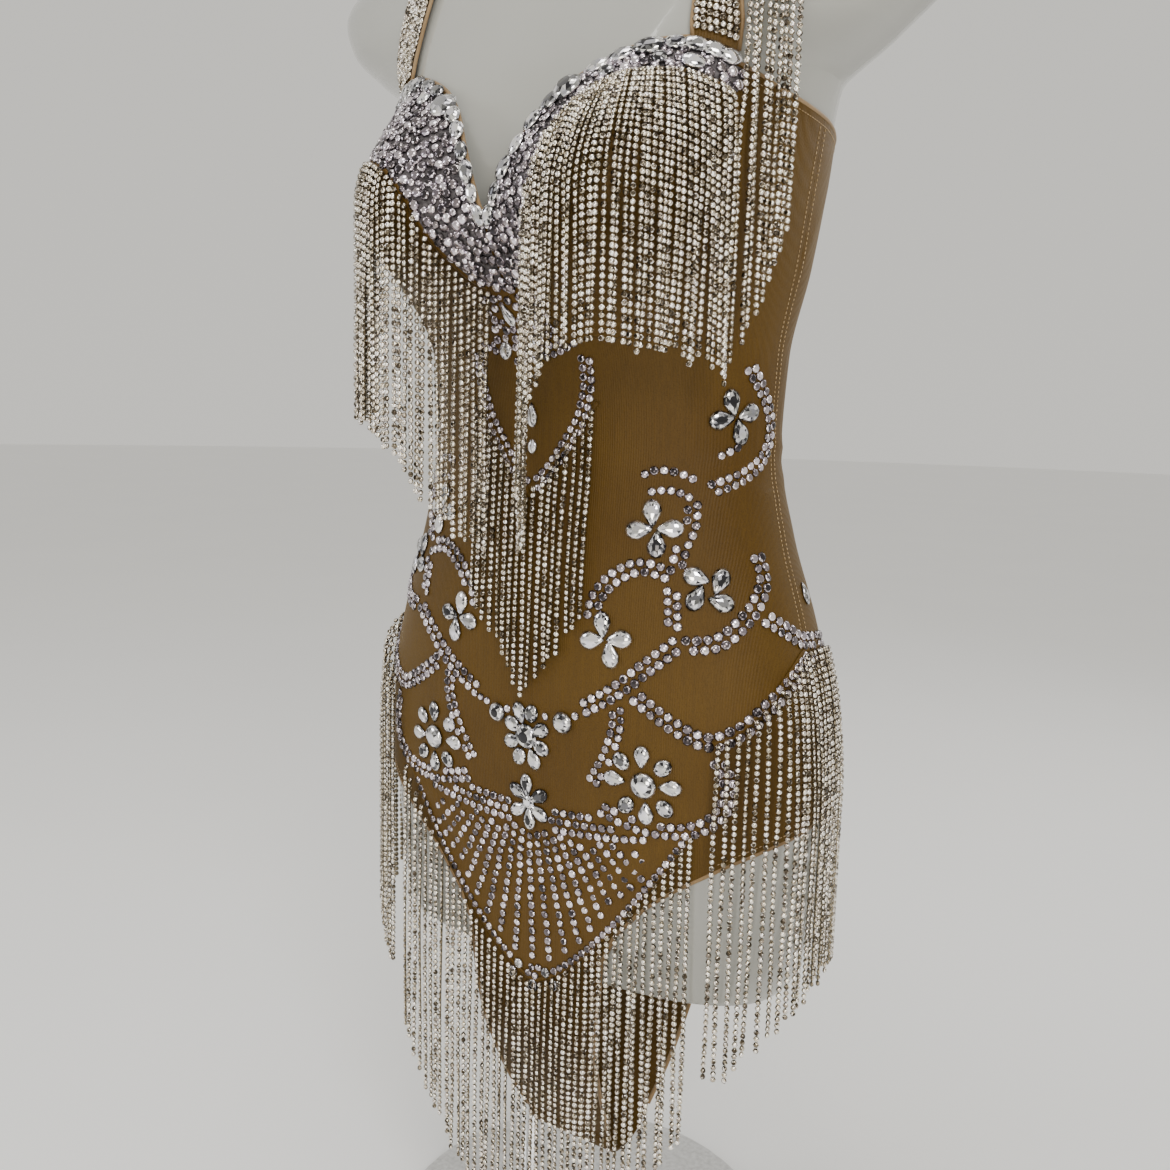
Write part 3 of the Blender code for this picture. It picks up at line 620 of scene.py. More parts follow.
def bound_edge():
    """Folded elastic binding, paler than the cloth, ribbed along its length."""
    made = Finish("bound edge", 0.55, 0.0, Sheen_Weight=0.15, Specular_IOR_Level=0.25)
    broad = made.noise(25.0, 2.0)
    tan = made.ramp(broad, (0.25, (0.20, 0.125, 0.055)), (0.75, (0.30, 0.20, 0.100)))
    ribs = made.noise(900.0, 1.0)
    made.colour(made.multiply(0.35, tan, made.ramp(ribs, (0.3, (0.6, 0.58, 0.55)), (0.7, (1.0, 1.0, 1.0)))))
    return made.bump(ribs, 0.0002, 0.7).made


def thread():
    made = Finish("sewing thread", 0.6)
    made.colour(made.ramp(made.noise(700.0), (0.3, (0.30, 0.20, 0.09)), (0.7, (0.55, 0.40, 0.22))))
    return made.bump(made.noise(2500.0), 0.0001).made


def facets(name, dark, middle, light, roughness):
    """Foiled crystal: each facet has its own random tone, which paints a glint or a dark reflection into its
    colour.
    """
    made = Finish(name, roughness, 0.92, Coat_Weight=0.25, Coat_Roughness=0.04)
    glint_tone = made.node("ShaderNodeAttribute", attribute_name="glint_tone").outputs["Fac"]
    # painted glints and painted dark reflections: the facet's tone picks a dark, middle or light base colour
    glint = made.ramp(glint_tone, (0.16, dark), (0.48, middle), (0.80, light))
    tint = made.ramp(made.noise(260.0, 1.0), (0.35, (0.93, 0.90, 1.0)), (0.65, (1.0, 0.97, 0.90)))
    made.colour(made.multiply(0.7, glint, tint))
    return made.rough(glint_tone, roughness * 1.8, roughness * 0.7).made


def setting(name, dark, light, roughness):
    """The plated cup or rim that holds a stone."""
    made = Finish(name, roughness, 1.0)
    # random darker and lighter patches from noise, in colour and in roughness
    mottle = made.noise(420.0, 3.0)
    made.colour(made.ramp(mottle, (0.30, dark), (0.68, light)))
    return made.rough(mottle, roughness + 0.12, roughness - 0.05).made


def gloss_plastic():
    made = Finish("white gloss plastic", 0.14, 0.0, Coat_Weight=0.7, Coat_Roughness=0.04)
    broad = made.noise(5.0, 3.0)
    # painted shade: the grey base colour stands in for the shade over the whole white form
    made.colour(made.ramp(broad, (0.30, (0.315, 0.316, 0.288)), (0.70, (0.362, 0.363, 0.336))))
    made.rough(made.noise(34.0, 5.0), 0.08, 0.20)
    return made.bump(made.noise(9.0, 2.0), 0.0012, 0.20).made


def brushed_steel():
    made = Finish("brushed steel", 0.32, 1.0)
    grain = made.noise(260.0, 4.0, (1.0, 1.0, 0.06))
    made.colour(made.ramp(grain, (0.30, (0.62, 0.62, 0.62)), (0.70, (0.82, 0.82, 0.82))))
    made.rough(grain, 0.40, 0.24)
    return made.bump(grain, 0.0002, 0.5).made


def pale_floor():
    made = Finish("pale floor", 0.6)
    made.colour(made.ramp(made.noise(2.2, 4.0), (0.3, (0.900, 0.900, 0.895)), (0.7, (0.915, 0.915, 0.910))))
    return made.bump(made.noise(120.0, 3.0), 0.0006, 0.2).made


CLOTH = power_mesh()
EDGE = bound_edge()
THREAD = thread()
# Chain cups and stones: their warm tint is a painted reflection of the tan cloth on silver metal
CHAIN_CUP = setting("chain cups", (0.030, 0.022, 0.011), (0.46, 0.39, 0.27), 0.24)
CHAIN_FACE = facets("chain stones", (0.050, 0.038, 0.022), (0.60, 0.53, 0.41), (1.0, 0.97, 0.87), 0.10)
RIM = setting("stone rims", (0.050, 0.045, 0.046), (0.35, 0.32, 0.33), 0.28)
GLUED_FACE = facets("glued stones", (0.042, 0.036, 0.040), (0.29, 0.255, 0.275), (0.92, 0.86, 0.91), 0.09)
CLEAR_FACE = facets("clear crystals", (0.035, 0.035, 0.038), (0.52, 0.53, 0.54), (1.0, 1.0, 1.0), 0.05)
# painted shade: a dark layer that shows in the gaps between the crust's stones
CRUST_GAP_SHADE = setting("crust gap shade", (0.055, 0.050, 0.052), (0.16, 0.145, 0.15), 0.50)
PLASTIC = gloss_plastic()
STEEL = brushed_steel()
FLOOR = pale_floor()


def dress_piece(piece, slot_name, *nodes):
    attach(piece, "root")
    if nodes:
        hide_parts(*nodes)
    return piece


def grid_wall(name, inner, outer, finish, slot_name, *nodes):
    """A piece made as a wall between two faces given as rows of points."""
    inner, outer = np.array(inner), np.array(outer)
    mesh = wall_mesh(name, inner.reshape(-1, 3), outer.reshape(-1, 3), grid_cells(*inner.shape[:2]))
    return dress_piece(link(name, mesh, [finish]), slot_name, *nodes)


# ---- camera, lights and floor

CAMERA = {"azimuth": 33.0, "pitch": 9.0, "roll": 1.5, "distance": 0.86, "eye": 0.669, "focal": 1173.0,
          "axis_x": 601.0, "frame": 1170.0}


def make_camera():
    azimuth, pitch, roll = (math.radians(CAMERA[key]) for key in ("azimuth", "pitch", "roll"))
    ahead = Vector((-math.sin(azimuth), math.cos(azimuth), 0.0))
    side = Vector((math.cos(azimuth), math.sin(azimuth), 0.0))
    up = Vector((0.0, 0.0, 1.0))
    yaw = math.atan((CAMERA["axis_x"] - CAMERA["frame"] / 2) / CAMERA["focal"])
    level = ahead * math.cos(yaw) - side * math.sin(yaw)
    side = side * math.cos(yaw) + ahead * math.sin(yaw)
    look = level * math.cos(pitch) - up * math.sin(pitch)
    rise = up * math.cos(pitch) + level * math.sin(pitch)
    right = side * math.cos(roll) + rise * math.sin(roll)
    above = rise * math.cos(roll) - side * math.sin(roll)
    stand = Vector((CAMERA["distance"] * math.sin(azimuth), -CAMERA["distance"] * math.cos(azimuth),
                    CAMERA["eye"]))
    data = bpy.data.cameras.new("camera")
    data.sensor_width = 36.0
    data.lens = CAMERA["focal"] / CAMERA["frame"] * data.sensor_width
    made = bpy.data.objects.new("camera", data)
    columns = Matrix((right, above, -look)).transposed()
    made.matrix_world = Matrix.Translation(stand) @ columns.to_4x4()
    bpy.context.scene.collection.objects.link(made)
    bpy.context.scene.camera = made


LIGHTS = (  # name, place, aim, size, watts, colour
    ("window", (1.7, -1.5, 1.7), (0.0, 0.0, 0.65), 0.80, 30.0, (1.0, 0.98, 0.95)),
    ("left fill", (-1.6, -1.5, 1.3), (0.0, 0.0, 0.6), 0.70, 11.0, (0.95, 0.97, 1.0)),
    ("top", (0.1, -0.5, 2.4), (0.0, 0.0, 0.6), 0.80, 12.0, (1.0, 0.98, 0.95)),
    ("back", (0.6, 1.8, 1.6), (0.0, 0.0, 0.6), 0.80, 9.0, (1.0, 1.0, 1.0)),
    ("low front", (0.7, -1.5, 0.45), (0.0, 0.0, 0.55), 0.50, 7.0, (1.0, 0.93, 0.82)),
)


WORLD_LEVEL = (0.800, 0.782, 0.732, 1.0)
WORLD_ABOVE = (0.740, 0.722, 0.675, 1.0)
FLOOR_RADIUS = 14.0
FLOOR_DROP = 0.0002


def make_lights():
    for name, place, aim, size, watts, colour in LIGHTS:
        data = bpy.data.lights.new(name, "AREA")
        data.energy = watts
        data.size = size
        data.color = colour
        made = bpy.data.objects.new(name, data)
        made.location = place
        made.rotation_euler = (Vector(aim) - Vector(place)).to_track_quat("-Z", "Y").to_euler()
        bpy.context.scene.collection.objects.link(made)
    world = bpy.data.worlds.new("studio")
    world.use_nodes = True
    nodes, links = world.node_tree.nodes, world.node_tree.links
    where = nodes.new("ShaderNodeTexCoord")
    split = nodes.new("ShaderNodeSeparateXYZ")
    ramp = nodes.new("ShaderNodeValToRGB")
    ramp.color_ramp.elements[0].position = 0.0
    ramp.color_ramp.elements[0].color = WORLD_LEVEL
    ramp.color_ramp.elements[1].position = 0.9
    ramp.color_ramp.elements[1].color = WORLD_ABOVE
    links.new(where.outputs["Generated"], split.inputs["Vector"])
    links.new(split.outputs["Z"], ramp.inputs["Fac"])
    links.new(ramp.outputs["Color"], nodes["Background"].inputs["Color"])
    nodes["Background"].inputs["Strength"].default_value = 1.0
    bpy.context.scene.world = world


def make_floor():
    shape = bmesh.new()
    bmesh.ops.create_circle(shape, cap_ends=True, segments=96, radius=FLOOR_RADIUS)
    mesh = bpy.data.meshes.new("floor")
    shape.to_mesh(mesh)
    shape.free()
    made = link("floor", mesh, [FLOOR])
    made.location.z = -FLOOR_DROP


make_camera()
make_lights()
make_floor()


# ---- torso form


def make_form():
    bearings = np.linspace(-180, 180, 145)[:-1]
    rows = np.unique(np.concatenate((np.arange(FORM_BOTTOM + 0.004, FORM_TOP - 0.003, 0.0065),
                                     np.arange(0.865, 1.05, 0.004))))
    points = [on_torso(bearings, z, False) for z in rows]
    for z, keep in ((FORM_BOTTOM + 0.0012, 0.9925), (FORM_BOTTOM, 0.975)):
        points.insert(0, on_torso(bearings, z, False) * (keep, keep, 1.0))
    for z, keep in ((FORM_TOP - 0.0010, 0.975), (FORM_TOP, 0.925)):
        points.append(on_torso(bearings, z, False) * (keep, keep, 1.0))
    columns = len(bearings)
    count = len(points)
    r, c = np.meshgrid(np.arange(count - 1), np.arange(columns), indexing="ij")
    d = (c + 1) % columns
    low, high = r * columns, (r + 1) * columns
    quads = np.stack((low + c, low + d, high + d, high + c), axis=-1).reshape(-1, 4)
    rim = np.arange(columns)
    loops = np.concatenate((quads.ravel(), rim[::-1], (count - 1) * columns + rim))
    counts = np.concatenate((np.full(len(quads), 4), (columns, columns)))
    mesh = array_mesh("form_shell", np.concatenate(points), loops, counts)
    return dress_piece(link("form_shell", mesh, [PLASTIC]), "form_plastic", "form_torso")


# ---- cloth

# Soft creases: bearing, height, half length, half width, turn from level in degrees, rise
CREASES = (
    (20, 0.352, 0.040, 0.0050, 42, 0.0011),
    (27, 0.372, 0.050, 0.0060, 36, 0.0009),
    (12, 0.335, 0.034, 0.0045, 55, 0.0010),
    (-17, 0.350, 0.044, 0.0050, -45, 0.0012),
    (-30, 0.378, 0.038, 0.0060, -33, 0.0008),
    (62, 0.628, 0.046, 0.0055, 8, 0.0012),
    (74, 0.612, 0.036, 0.0045, -6, 0.0010),
    (48, 0.598, 0.050, 0.0060, 14, 0.0009),
    (-66, 0.634, 0.040, 0.0050, -10, 0.0011),
    (-52, 0.606, 0.052, 0.0065, -16, 0.0010),
    (-78, 0.615, 0.030, 0.0045, 5, 0.0009),
    (104, 0.640, 0.038, 0.0050, -12, 0.0012),
    (122, 0.622, 0.050, 0.0060, 6, 0.0010),
    (146, 0.606, 0.046, 0.0055, -8, 0.0013),
    (168, 0.622, 0.040, 0.0050, 10, 0.0011),
    (-108, 0.634, 0.044, 0.0055, 10, 0.0011),
    (-130, 0.612, 0.038, 0.0050, -7, 0.0012),
    (-152, 0.630, 0.050, 0.0060, 9, 0.0010),
    (160, 0.352, 0.046, 0.0060, -44, 0.0012),
    (-156, 0.360, 0.042, 0.0055, 40, 0.0011),
    (135, 0.392, 0.050, 0.0065, -30, 0.0009),
    (-138, 0.398, 0.044, 0.0060, 33, 0.0010),
    (96, 0.780, 0.040, 0.0050, 62, 0.0009),
    (-98, 0.774, 0.044, 0.0055, -58, 0.0010),
)


def crease_rise(bearing, z):
    """How far the soft creases lift the cloth at each place."""
    bearing, z = np.broadcast_arrays(np.asarray(bearing, float), np.asarray(z, float))
    across = np.linalg.norm(on_torso(bearing + 0.5, z) - on_torso(bearing - 0.5, z), axis=-1)
    rise = np.zeros(bearing.shape)
    for at, height, half_length, half_width, turn, lift in CREASES:
        gap = (bearing - at + 180) % 360 - 180
        u = gap * across
        v = z - height
        c, s = math.cos(math.radians(turn)), math.sin(math.radians(turn))
        along = (u * c + v * s) / half_length
        aside = (v * c - u * s + 0.004 * along * along) / half_width
        rise += lift * np.exp(-along ** 2 * 1.6) * np.exp(-aside ** 2)
    return np.minimum(rise, CREASE_LIMIT)


def cloth_point(bearing, z, out=0.0):
    return skin(bearing, z, out + crease_rise(bearing, z))


def fine(values, parts):
    """The values with each gap cut into equal parts."""
    values = np.asarray(values, float)
    return np.interp(np.arange((len(values) - 1) * parts + 1) / parts, np.arange(len(values)), values)


def tail_rows(side, shares, edge_x, heights):
    """Points of a tail between the legs and the way out of it, from the panel down to the gusset."""
    table = FRONT_TAIL if side < 0 else BACK_TAIL
    places, outs = [], []
    for z in heights:
        half = TAIL_HALF_X(z)
        if z >= TAIL_WIDENS:
            half = np.interp(z, (TAIL_WIDENS, TAIL_TOP), (TAIL_HALF[-1][1], edge_x))
        x = shares * half
        bearing = bearing_of(x, max(z, TAIL_LEAVES))
        if side > 0:
            bearing = 180 - bearing
        on_cloth = skin(bearing, np.full(len(x), max(z, TAIL_LEAVES)))
        if z >= TAIL_LEAVES:
            places.append(on_cloth)
            outs.append(normal_at(bearing, np.full(len(x), z)))
            continue
        rows = sorted((row[0], row[1]) for row in table)
        depth = np.array([float(curve(rows + [(TAIL_LEAVES, y)], 1)(z)) for y in on_cloth[:, 1]])
        ease = (TAIL_LEAVES - z) / (TAIL_LEAVES - TAIL_END)
        lean = TAIL_LEAN * (1 - ease)
        out = np.array((0.0, side * math.cos(lean), -math.sin(lean)))
        places.append(np.stack((x, depth, np.full(len(x), z)), axis=1))
        outs.append(np.broadcast_to(out, (len(x), 3)))
    return places, outs


def make_panel(name, bearings, bottom, top, rows, side, nodes):
    """A body panel from its leg line to its top edge, and its tail below."""
    bearings = np.asarray(bearings)
    low, high = bottom(bearings), top(bearings)
    inner, outer = [], []
    for t in np.linspace(0, 1, rows):
        z = low + (high - low) * t
        inner.append(cloth_point(bearings, z))
        outer.append(cloth_point(bearings, z, WALL))
    columns = len(bearings)
    for face in (inner, outer):
        for row in face:
            row[[0, -1], 1] += side * SEAM_GAP / 2
    cells = [grid_cells(rows, columns)]
    middle = bearings if side < 0 else 180 - folded(bearings)
    above = np.nonzero(np.abs(middle) <= TAIL_BEARING + 1e-6)[0]
    edge_x = abs(inner[0][above[0]][0])
    shares = inner[0][above][:, 0] / edge_x
    heights = np.concatenate((np.arange(TAIL_TOP - TAIL_STEP, TAIL_LAST_ROW, -TAIL_STEP),
                              [TAIL_END + SEAM_GAP / 2]))
    places, outs = tail_rows(side, shares, edge_x, heights)
    count = rows * columns
    for place, out in zip(places, outs):
        below = count + np.arange(len(above))
        inner.append(place)
        outer.append(place + out * WALL)
        cells.append(np.stack((below[:-1], below[1:], above[1:], above[:-1]), axis=1))
        above = below
        count += len(below)
    mesh = wall_mesh(name, np.concatenate(inner), np.concatenate(outer), np.concatenate(cells))
    return dress_piece(link(name, mesh, [CLOTH]), "stretch_mesh", *nodes)


FRONT_BEARINGS = (0, 5, 11, 17.5, 25, 32, 38.5, 44, 48.5, 52.5, 61, 70, 80, 90)
BACK_BEARINGS = (90, 100, 110, 120, 130, 137.5, 145, 154, 162.5, 169, 175, 180)


def make_front():
    half = fine(FRONT_BEARINGS, 4)
    bearings = np.concatenate((-half[:0:-1], half))

    def bottom(b):
        return LEG_FRONT_Z(np.maximum(np.abs(b), TAIL_BEARING))

    def top(b):
        side = np.abs(b)
        seam = CUP_SEAM_Z(side) - SEAM_GAP * 0.6
        return np.where(side <= CUP_END, seam, ARMHOLE_Z(side))

    piece = make_panel("cloth_front", bearings, bottom, top, 88, -1, ["front_panel"])
    return piece


def make_back():
    half = fine(BACK_BEARINGS, 4)
    bearings = np.concatenate((half, 360 - half[-2::-1]))

    def bottom(b):
        return LEG_BACK_Z(np.minimum(folded(b), 180 - TAIL_BEARING))

    def top(b):
        return np.where(folded(b) <= BACK_END, ARMHOLE_Z(folded(b)), BACK_NECK_Z(folded(b)))

    piece = make_panel("cloth_back", bearings, bottom, top, 100, 1, ["back_panel"])
    return piece


def make_gusset():
    """The strip under the crotch, a shallow U between the two tails."""
    z_front, y_front, half = FRONT_TAIL[-1]
    y_back = BACK_TAIL[-1][1]
    middle, radius, drop = (y_front + y_back) / 2, (y_back - y_front) / 2, z_front - GUSSET_BOTTOM
    shares = np.linspace(-1, 1, 25)
    inner, outer = [], []
    for turn in np.linspace(0, math.pi, 25):
        out = unit(np.array((0.0, -math.cos(turn) * drop, -math.sin(turn) * radius)))
        width = half * (1 - 0.10 * math.sin(turn))
        place = np.stack((shares * width, np.full(25, middle - radius * math.cos(turn)),
                          np.full(25, z_front - drop * math.sin(turn) - SEAM_GAP / 2)), axis=1)
        inner.append(place)
        outer.append(place + out * WALL)
    piece = grid_wall("cloth_gusset", inner, outer, CLOTH, "stretch_mesh", "gusset")
    return piece


def make_cup(side):
    name = SIDES[side]
    bearings = fine([b for b in FRONT_BEARINGS if b <= CUP_END], 4)
    low, high = CUP_SEAM_Z(bearings) + SEAM_GAP * 0.6, NECK_Z(bearings)
    inner, outer = [], []
    for t in np.linspace(0, 1, 40):
        z = low + (high - low) * t
        inner.append(skin(bearings, z))
        outer.append(skin(bearings, z, WALL))
    inner, outer = np.array(inner), np.array(outer)
    for face in (inner, outer):
        face[:, 0, 0] = SEAM_GAP / 2
        face[:, :, 0] *= side
    piece = grid_wall("cloth_cup_" + name, inner, outer, CLOTH, "stretch_mesh", "cup_" + name)
    return piece


def strap_rows(side, share, out):
    """Points along a strap, from the cup over the shoulder to the back, at a share across it."""
    front = skin(45.5, NECK_Z(45.5) + STRAP_END_RISE)
    back = skin(137.5, ARMHOLE_Z(137.5) + STRAP_END_RISE)
    t = np.linspace(0.0, 1.0, 90)
    centre = front[0] + (STRAP_TOP_X - front[0]) * np.minimum(t * 2, 1.0)
    centre = centre + (back[0] - STRAP_TOP_X) * np.maximum(t * 2 - 1, 0.0)
    lift = FIT_GAP + STRAP_LIFT + STRAP_TOP_LIFT * np.sin(math.pi * t) + out
    first, last = STRAP_TURNS
    middle = shoulder_point(centre + STRAP_WIDTH * share, first + (last - first) * t, lift)
    ends = []
    for span, z in (((38.5, 52.5), NECK_Z), ((145.0, 130.0), ARMHOLE_Z)):
        bearing = span[0] + (span[1] - span[0]) * (share + 0.5)
        ends.append(skin(bearing, z(bearing) + STRAP_END_RISE, out))
    return np.concatenate((ends[0][None], middle, ends[1][None])) * (side, 1.0, 1.0)


def make_strap(side):
    name = SIDES[side]
    inner, outer = (np.stack([strap_rows(side, share, out) for share in np.linspace(-0.5, 0.5, 7)], axis=1)
                    for out in (0.0, WALL))
    piece = grid_wall("cloth_strap_" + name, inner, outer, CLOTH, "stretch_mesh", "strap_" + name)
    return piece


# ---- chain fringe


def hang(roots, headings, longest):
    """Paths of hanging strands: down the cloth to where each stands furthest out, then plumb."""
    reach = np.zeros(len(roots))
    path = [roots.copy()]
    for k in range(1, int(longest / HANG_STEP) + 2):
        level = roots.copy()
        level[:, 2] -= HANG_STEP * k
        while True:
            place = level + headings * reach[:, None]
            hit = covered(place, FIT_GAP + WALL + HANG_CLEARANCE)
            if not hit.any():
                break
            reach[hit] += HANG_NUDGE
        path.append(place)
    return np.array(path).transpose(1, 0, 2)


def chain_stones(paths, headings, ends, rng):
    """Stones along strands, each chain turned and drifting a little: places, axes and rods behind."""
    places, axes, rods = [], [], []
    for path, heading, end in zip(paths, headings, ends):
        runs = runs_of(path)
        across = unit(np.cross(UP, heading))
        drift = rng.normal(0.0, SWAY) * (runs / max(end, 0.05)) ** 1.5
        wave = WAVE * np.sin(runs * rng.uniform(25, 45) + rng.uniform(0, 6))
        path = path + across * (drift + wave)[:, None]
        at = paced(path, STONE_PITCH, 0.001, end)
        ahead = unit(pick(np.gradient(path, axis=0), at))
        turn = rng.normal(0.0, TWIST)
        swing = TWIST_SWING * np.sin(at * rng.uniform(0.03, 0.07) + rng.uniform(0, 6))
        twist = turn + swing
        level = heading * np.cos(twist)[:, None] + across * np.sin(twist)[:, None]
        out = unit(level - ahead * (level * ahead).sum(1, keepdims=True))
        centre = pick(path, at)
        places.append(centre - out * STONE_SINK)
        axes.append(np.stack((np.cross(-ahead, out), -ahead, out), axis=1))
        rods.append(tube(centre[::4] - out[::4] * ROD_SINK, out[::4], *ROD))
    return np.concatenate(places), np.concatenate(axes), rods


def tape(bearings, z):
    """The narrow strip that carries a row of strands."""
    return (*tube(skin(bearings, z, WALL + TAPE_LIFT), normal_at(bearings, z), *TAPE), 2)


def chain_piece(name, paths, headings, ends, tapes, seed, nodes):
    rng = np.random.default_rng(seed)
    places, axes, rods = chain_stones(paths, headings, ends, rng)
    sizes = np.full((len(places), 3), STONE / 2)
    sizes[:, 2] *= 1.5
    raw = [(*rod, 0) for rod in rods if len(rod[1])] + list(tapes)
    piece = joined(name, [(CHAIN_STONE, places, axes, sizes, rng)], [CHAIN_CUP, CHAIN_FACE, CLOTH], raw)
    return dress_piece(piece, "crystal_chain", *nodes)


def even_bearings(heights, start, end, pitch, drop=0.0):
    """Bearings of strands that stand evenly apart as seen from above, some way down."""
    samples = np.linspace(start, end, 600)
    points = skin(samples, heights(samples), WALL)
    if drop:
        points = hang(points, level_out(normal_at(samples, heights(samples))), drop)[:, -1]
    runs = runs_of(points[:, :2])
    count = int(round(runs[-1] / pitch))
    return np.interp((np.arange(count) + 0.5) / count * runs[-1], runs, samples), count


def level_out(normals):
    return unit(normals * (1.0, 1.0, 0.0))


def rooted(bearings, z):
    """Where strands leave their tape on the cloth, and which way each hangs out from it."""
    return skin(bearings, z, WALL + ROOT_LIFT), level_out(normal_at(bearings, z))


def cup_line(bearing):
    """Height of a cup's fringe line, just under the crust's lower edge."""
    bearing = np.asarray(bearing, float)
    side = np.abs(bearing)
    return np.where(bearing > 0, CRUST_LOW_LEFT(side), CRUST_LOW_RIGHT(side)) - 0.0010


def make_cup_fringe(side):
    name = SIDES[side]
    bearings, count = even_bearings(cup_line, side * CUP_FRINGE["from"], side * CUP_FRINGE["to"],
                                    CUP_FRINGE["pitch"], CUP_FRINGE["drop"])
    roots, headings = rooted(bearings, cup_line(bearings))
    rng = np.random.default_rng(31 + side)
    ends = CUP_FRINGE["length"] * (1 + rng.normal(0, 0.012, count))
    paths = hang(roots, headings, CUP_FRINGE["longest"])
    line = np.linspace(bearings[0], bearings[-1], 60)
    return chain_piece("chain_cup_" + name, paths, headings, ends, [tape(line, cup_line(line))],
                       101 + side, ["fringe_cup_" + name])


def waist_v_height(x):
    return WAIST_V["tip_z"] + (WAIST_V["end_z"] - WAIST_V["tip_z"]) * np.abs(x) / WAIST_V["half_width"]


def hip_v_height(x):
    share = np.abs(x) / HIP_V["half_width"]
    return HIP_V["tip_z"] + (HIP_V["end_z"] - HIP_V["tip_z"]) * share ** HIP_V["fullness"]


def make_v_fringe(name, tier, height, node, forward=False):
    """A tier whose strip runs down to a point at the centre front."""
    count = tier["strands"]
    x = tier["half_width"] * (2 * (np.arange(count) + 0.5) / count - 1)
    z = height(x)
    roots, headings = rooted(bearing_of(x, z), z)
    if forward:
        headings = np.broadcast_to(FORWARD, roots.shape)
    paths = hang(roots, headings, tier["longest"])
    length_seed, chain_seed = tier["seeds"]
    ends = tier["length"] * (1 + np.random.default_rng(length_seed).normal(0, tier["uneven"], count))
    ends = np.minimum(ends, z - FLOOR_CLEARANCE)
    line = np.linspace(-tier["half_width"], tier["half_width"], tier["samples"])
    strip = tape(bearing_of(line, height(line)), height(line))
    return chain_piece(name, paths, headings, ends, [strip], chain_seed, [node])


def make_hip_back():
    """The long tier round the hips, as two halves that meet at the centre back."""

    def height(b):
        return HIP_LINE_Z(folded(b))

    made = []
    for name, start, end, nodes in (("left", 45.5, 180.0, ["fringe_hip_back"]), ("right", 180.0, 314.5, [])):
        bearings, count = even_bearings(height, start, end, HIP_BACK["pitch"])
        roots, headings = rooted(bearings, height(bearings))
        paths = hang(roots, headings, HIP_BACK["longest"])
        rng = np.random.default_rng(len(name))
        ends = HIP_BACK["length"] * (1 + rng.normal(0, 0.012, count))
        line = np.linspace(start, end, 140)
        made.append(chain_piece("chain_hip_" + name, paths, headings, ends, [tape(line, height(line))],
                                110 + len(name), nodes))
    return made


def make_shoulder_fringe():
    """The bundle of long strands beside the left strap."""
    count = SHOULDER_FRINGE["strands"]
    x = np.linspace(SHOULDER_FRINGE["from_x"] + 0.002, SHOULDER_FRINGE["to_x"] - 0.002, count)
    lift = FIT_GAP + STRAP_LIFT + STRAP_TOP_LIFT + WALL + 0.0016
    roots = shoulder_point(x, SHOULDER_TURN, lift)
    headings = np.broadcast_to(FORWARD, roots.shape)
    share = np.arange(count) / (count - 1)
    lowest = SHOULDER_FRINGE["inner_z"] + (SHOULDER_FRINGE["outer_z"] - SHOULDER_FRINGE["inner_z"]) * share
    paths = hang(roots, headings, SHOULDER_FRINGE["longest"])
    ends = []
    for path, low in zip(paths, lowest):
        ends.append(float(np.interp(-low, -path[:, 2], runs_of(path))))
    line = np.linspace(SHOULDER_FRINGE["strip_x"], SHOULDER_FRINGE["to_x"], 24)
    line = shoulder_point(line, SHOULDER_TURN, lift)
    strip = (*tube(line, np.broadcast_to((0.0, -0.35, 0.94), line.shape), *SHOULDER_TAPE), 2)
    return chain_piece("chain_shoulder_left", paths, headings, ends, [strip], 121, ["fringe_shoulder_left"])


STRAP_CHAIN = {"rows": 7, "reach": 0.40, "beside": 0.06, "lift": 0.0003, "stray": 0.10}


def make_strap_chain(side):
    """Chain rows sewn side by side along the strap's outer face."""
    rng = np.random.default_rng(140 + side)
    places, axes = [], []
    for share in np.linspace(-STRAP_CHAIN["reach"], STRAP_CHAIN["reach"], STRAP_CHAIN["rows"]):
        path = strap_rows(side, share, WALL + STRAP_CHAIN["lift"])
        beside = strap_rows(side, share + STRAP_CHAIN["beside"], WALL + STRAP_CHAIN["lift"])
        at = paced(path, STONE_PITCH * 0.98, 0.004, runs_of(path)[-1] - 0.002)
        ahead = unit(pick(np.gradient(path, axis=0), at))
        across = unit(pick((beside - path) * side, at))
        out = unit(np.cross(ahead, across))
        out = np.where((out * (pick(path, at) - (0.0, 0.0, SHOULDER_Z))).sum(1, keepdims=True) < 0, -out, out)
        out = unit(out + rng.normal(0, STRAP_CHAIN["stray"], out.shape))
        side_axis = unit(np.cross(ahead, out))
        places.append(pick(path, at))
        axes.append(np.stack((side_axis, np.cross(out, side_axis), out), axis=1))
    places, axes = np.concatenate(places), np.concatenate(axes)
    sizes = np.full((len(places), 3), STONE * 0.55)
    sizes[:, 2] *= 1.2
    stamps = [(CHAIN_STONE, places, axes, sizes, rng)]
    return dress_piece(joined("chain_strap_" + SIDES[side], stamps, [CHAIN_CUP, CHAIN_FACE]), "crystal_chain")


# ---- glued stones

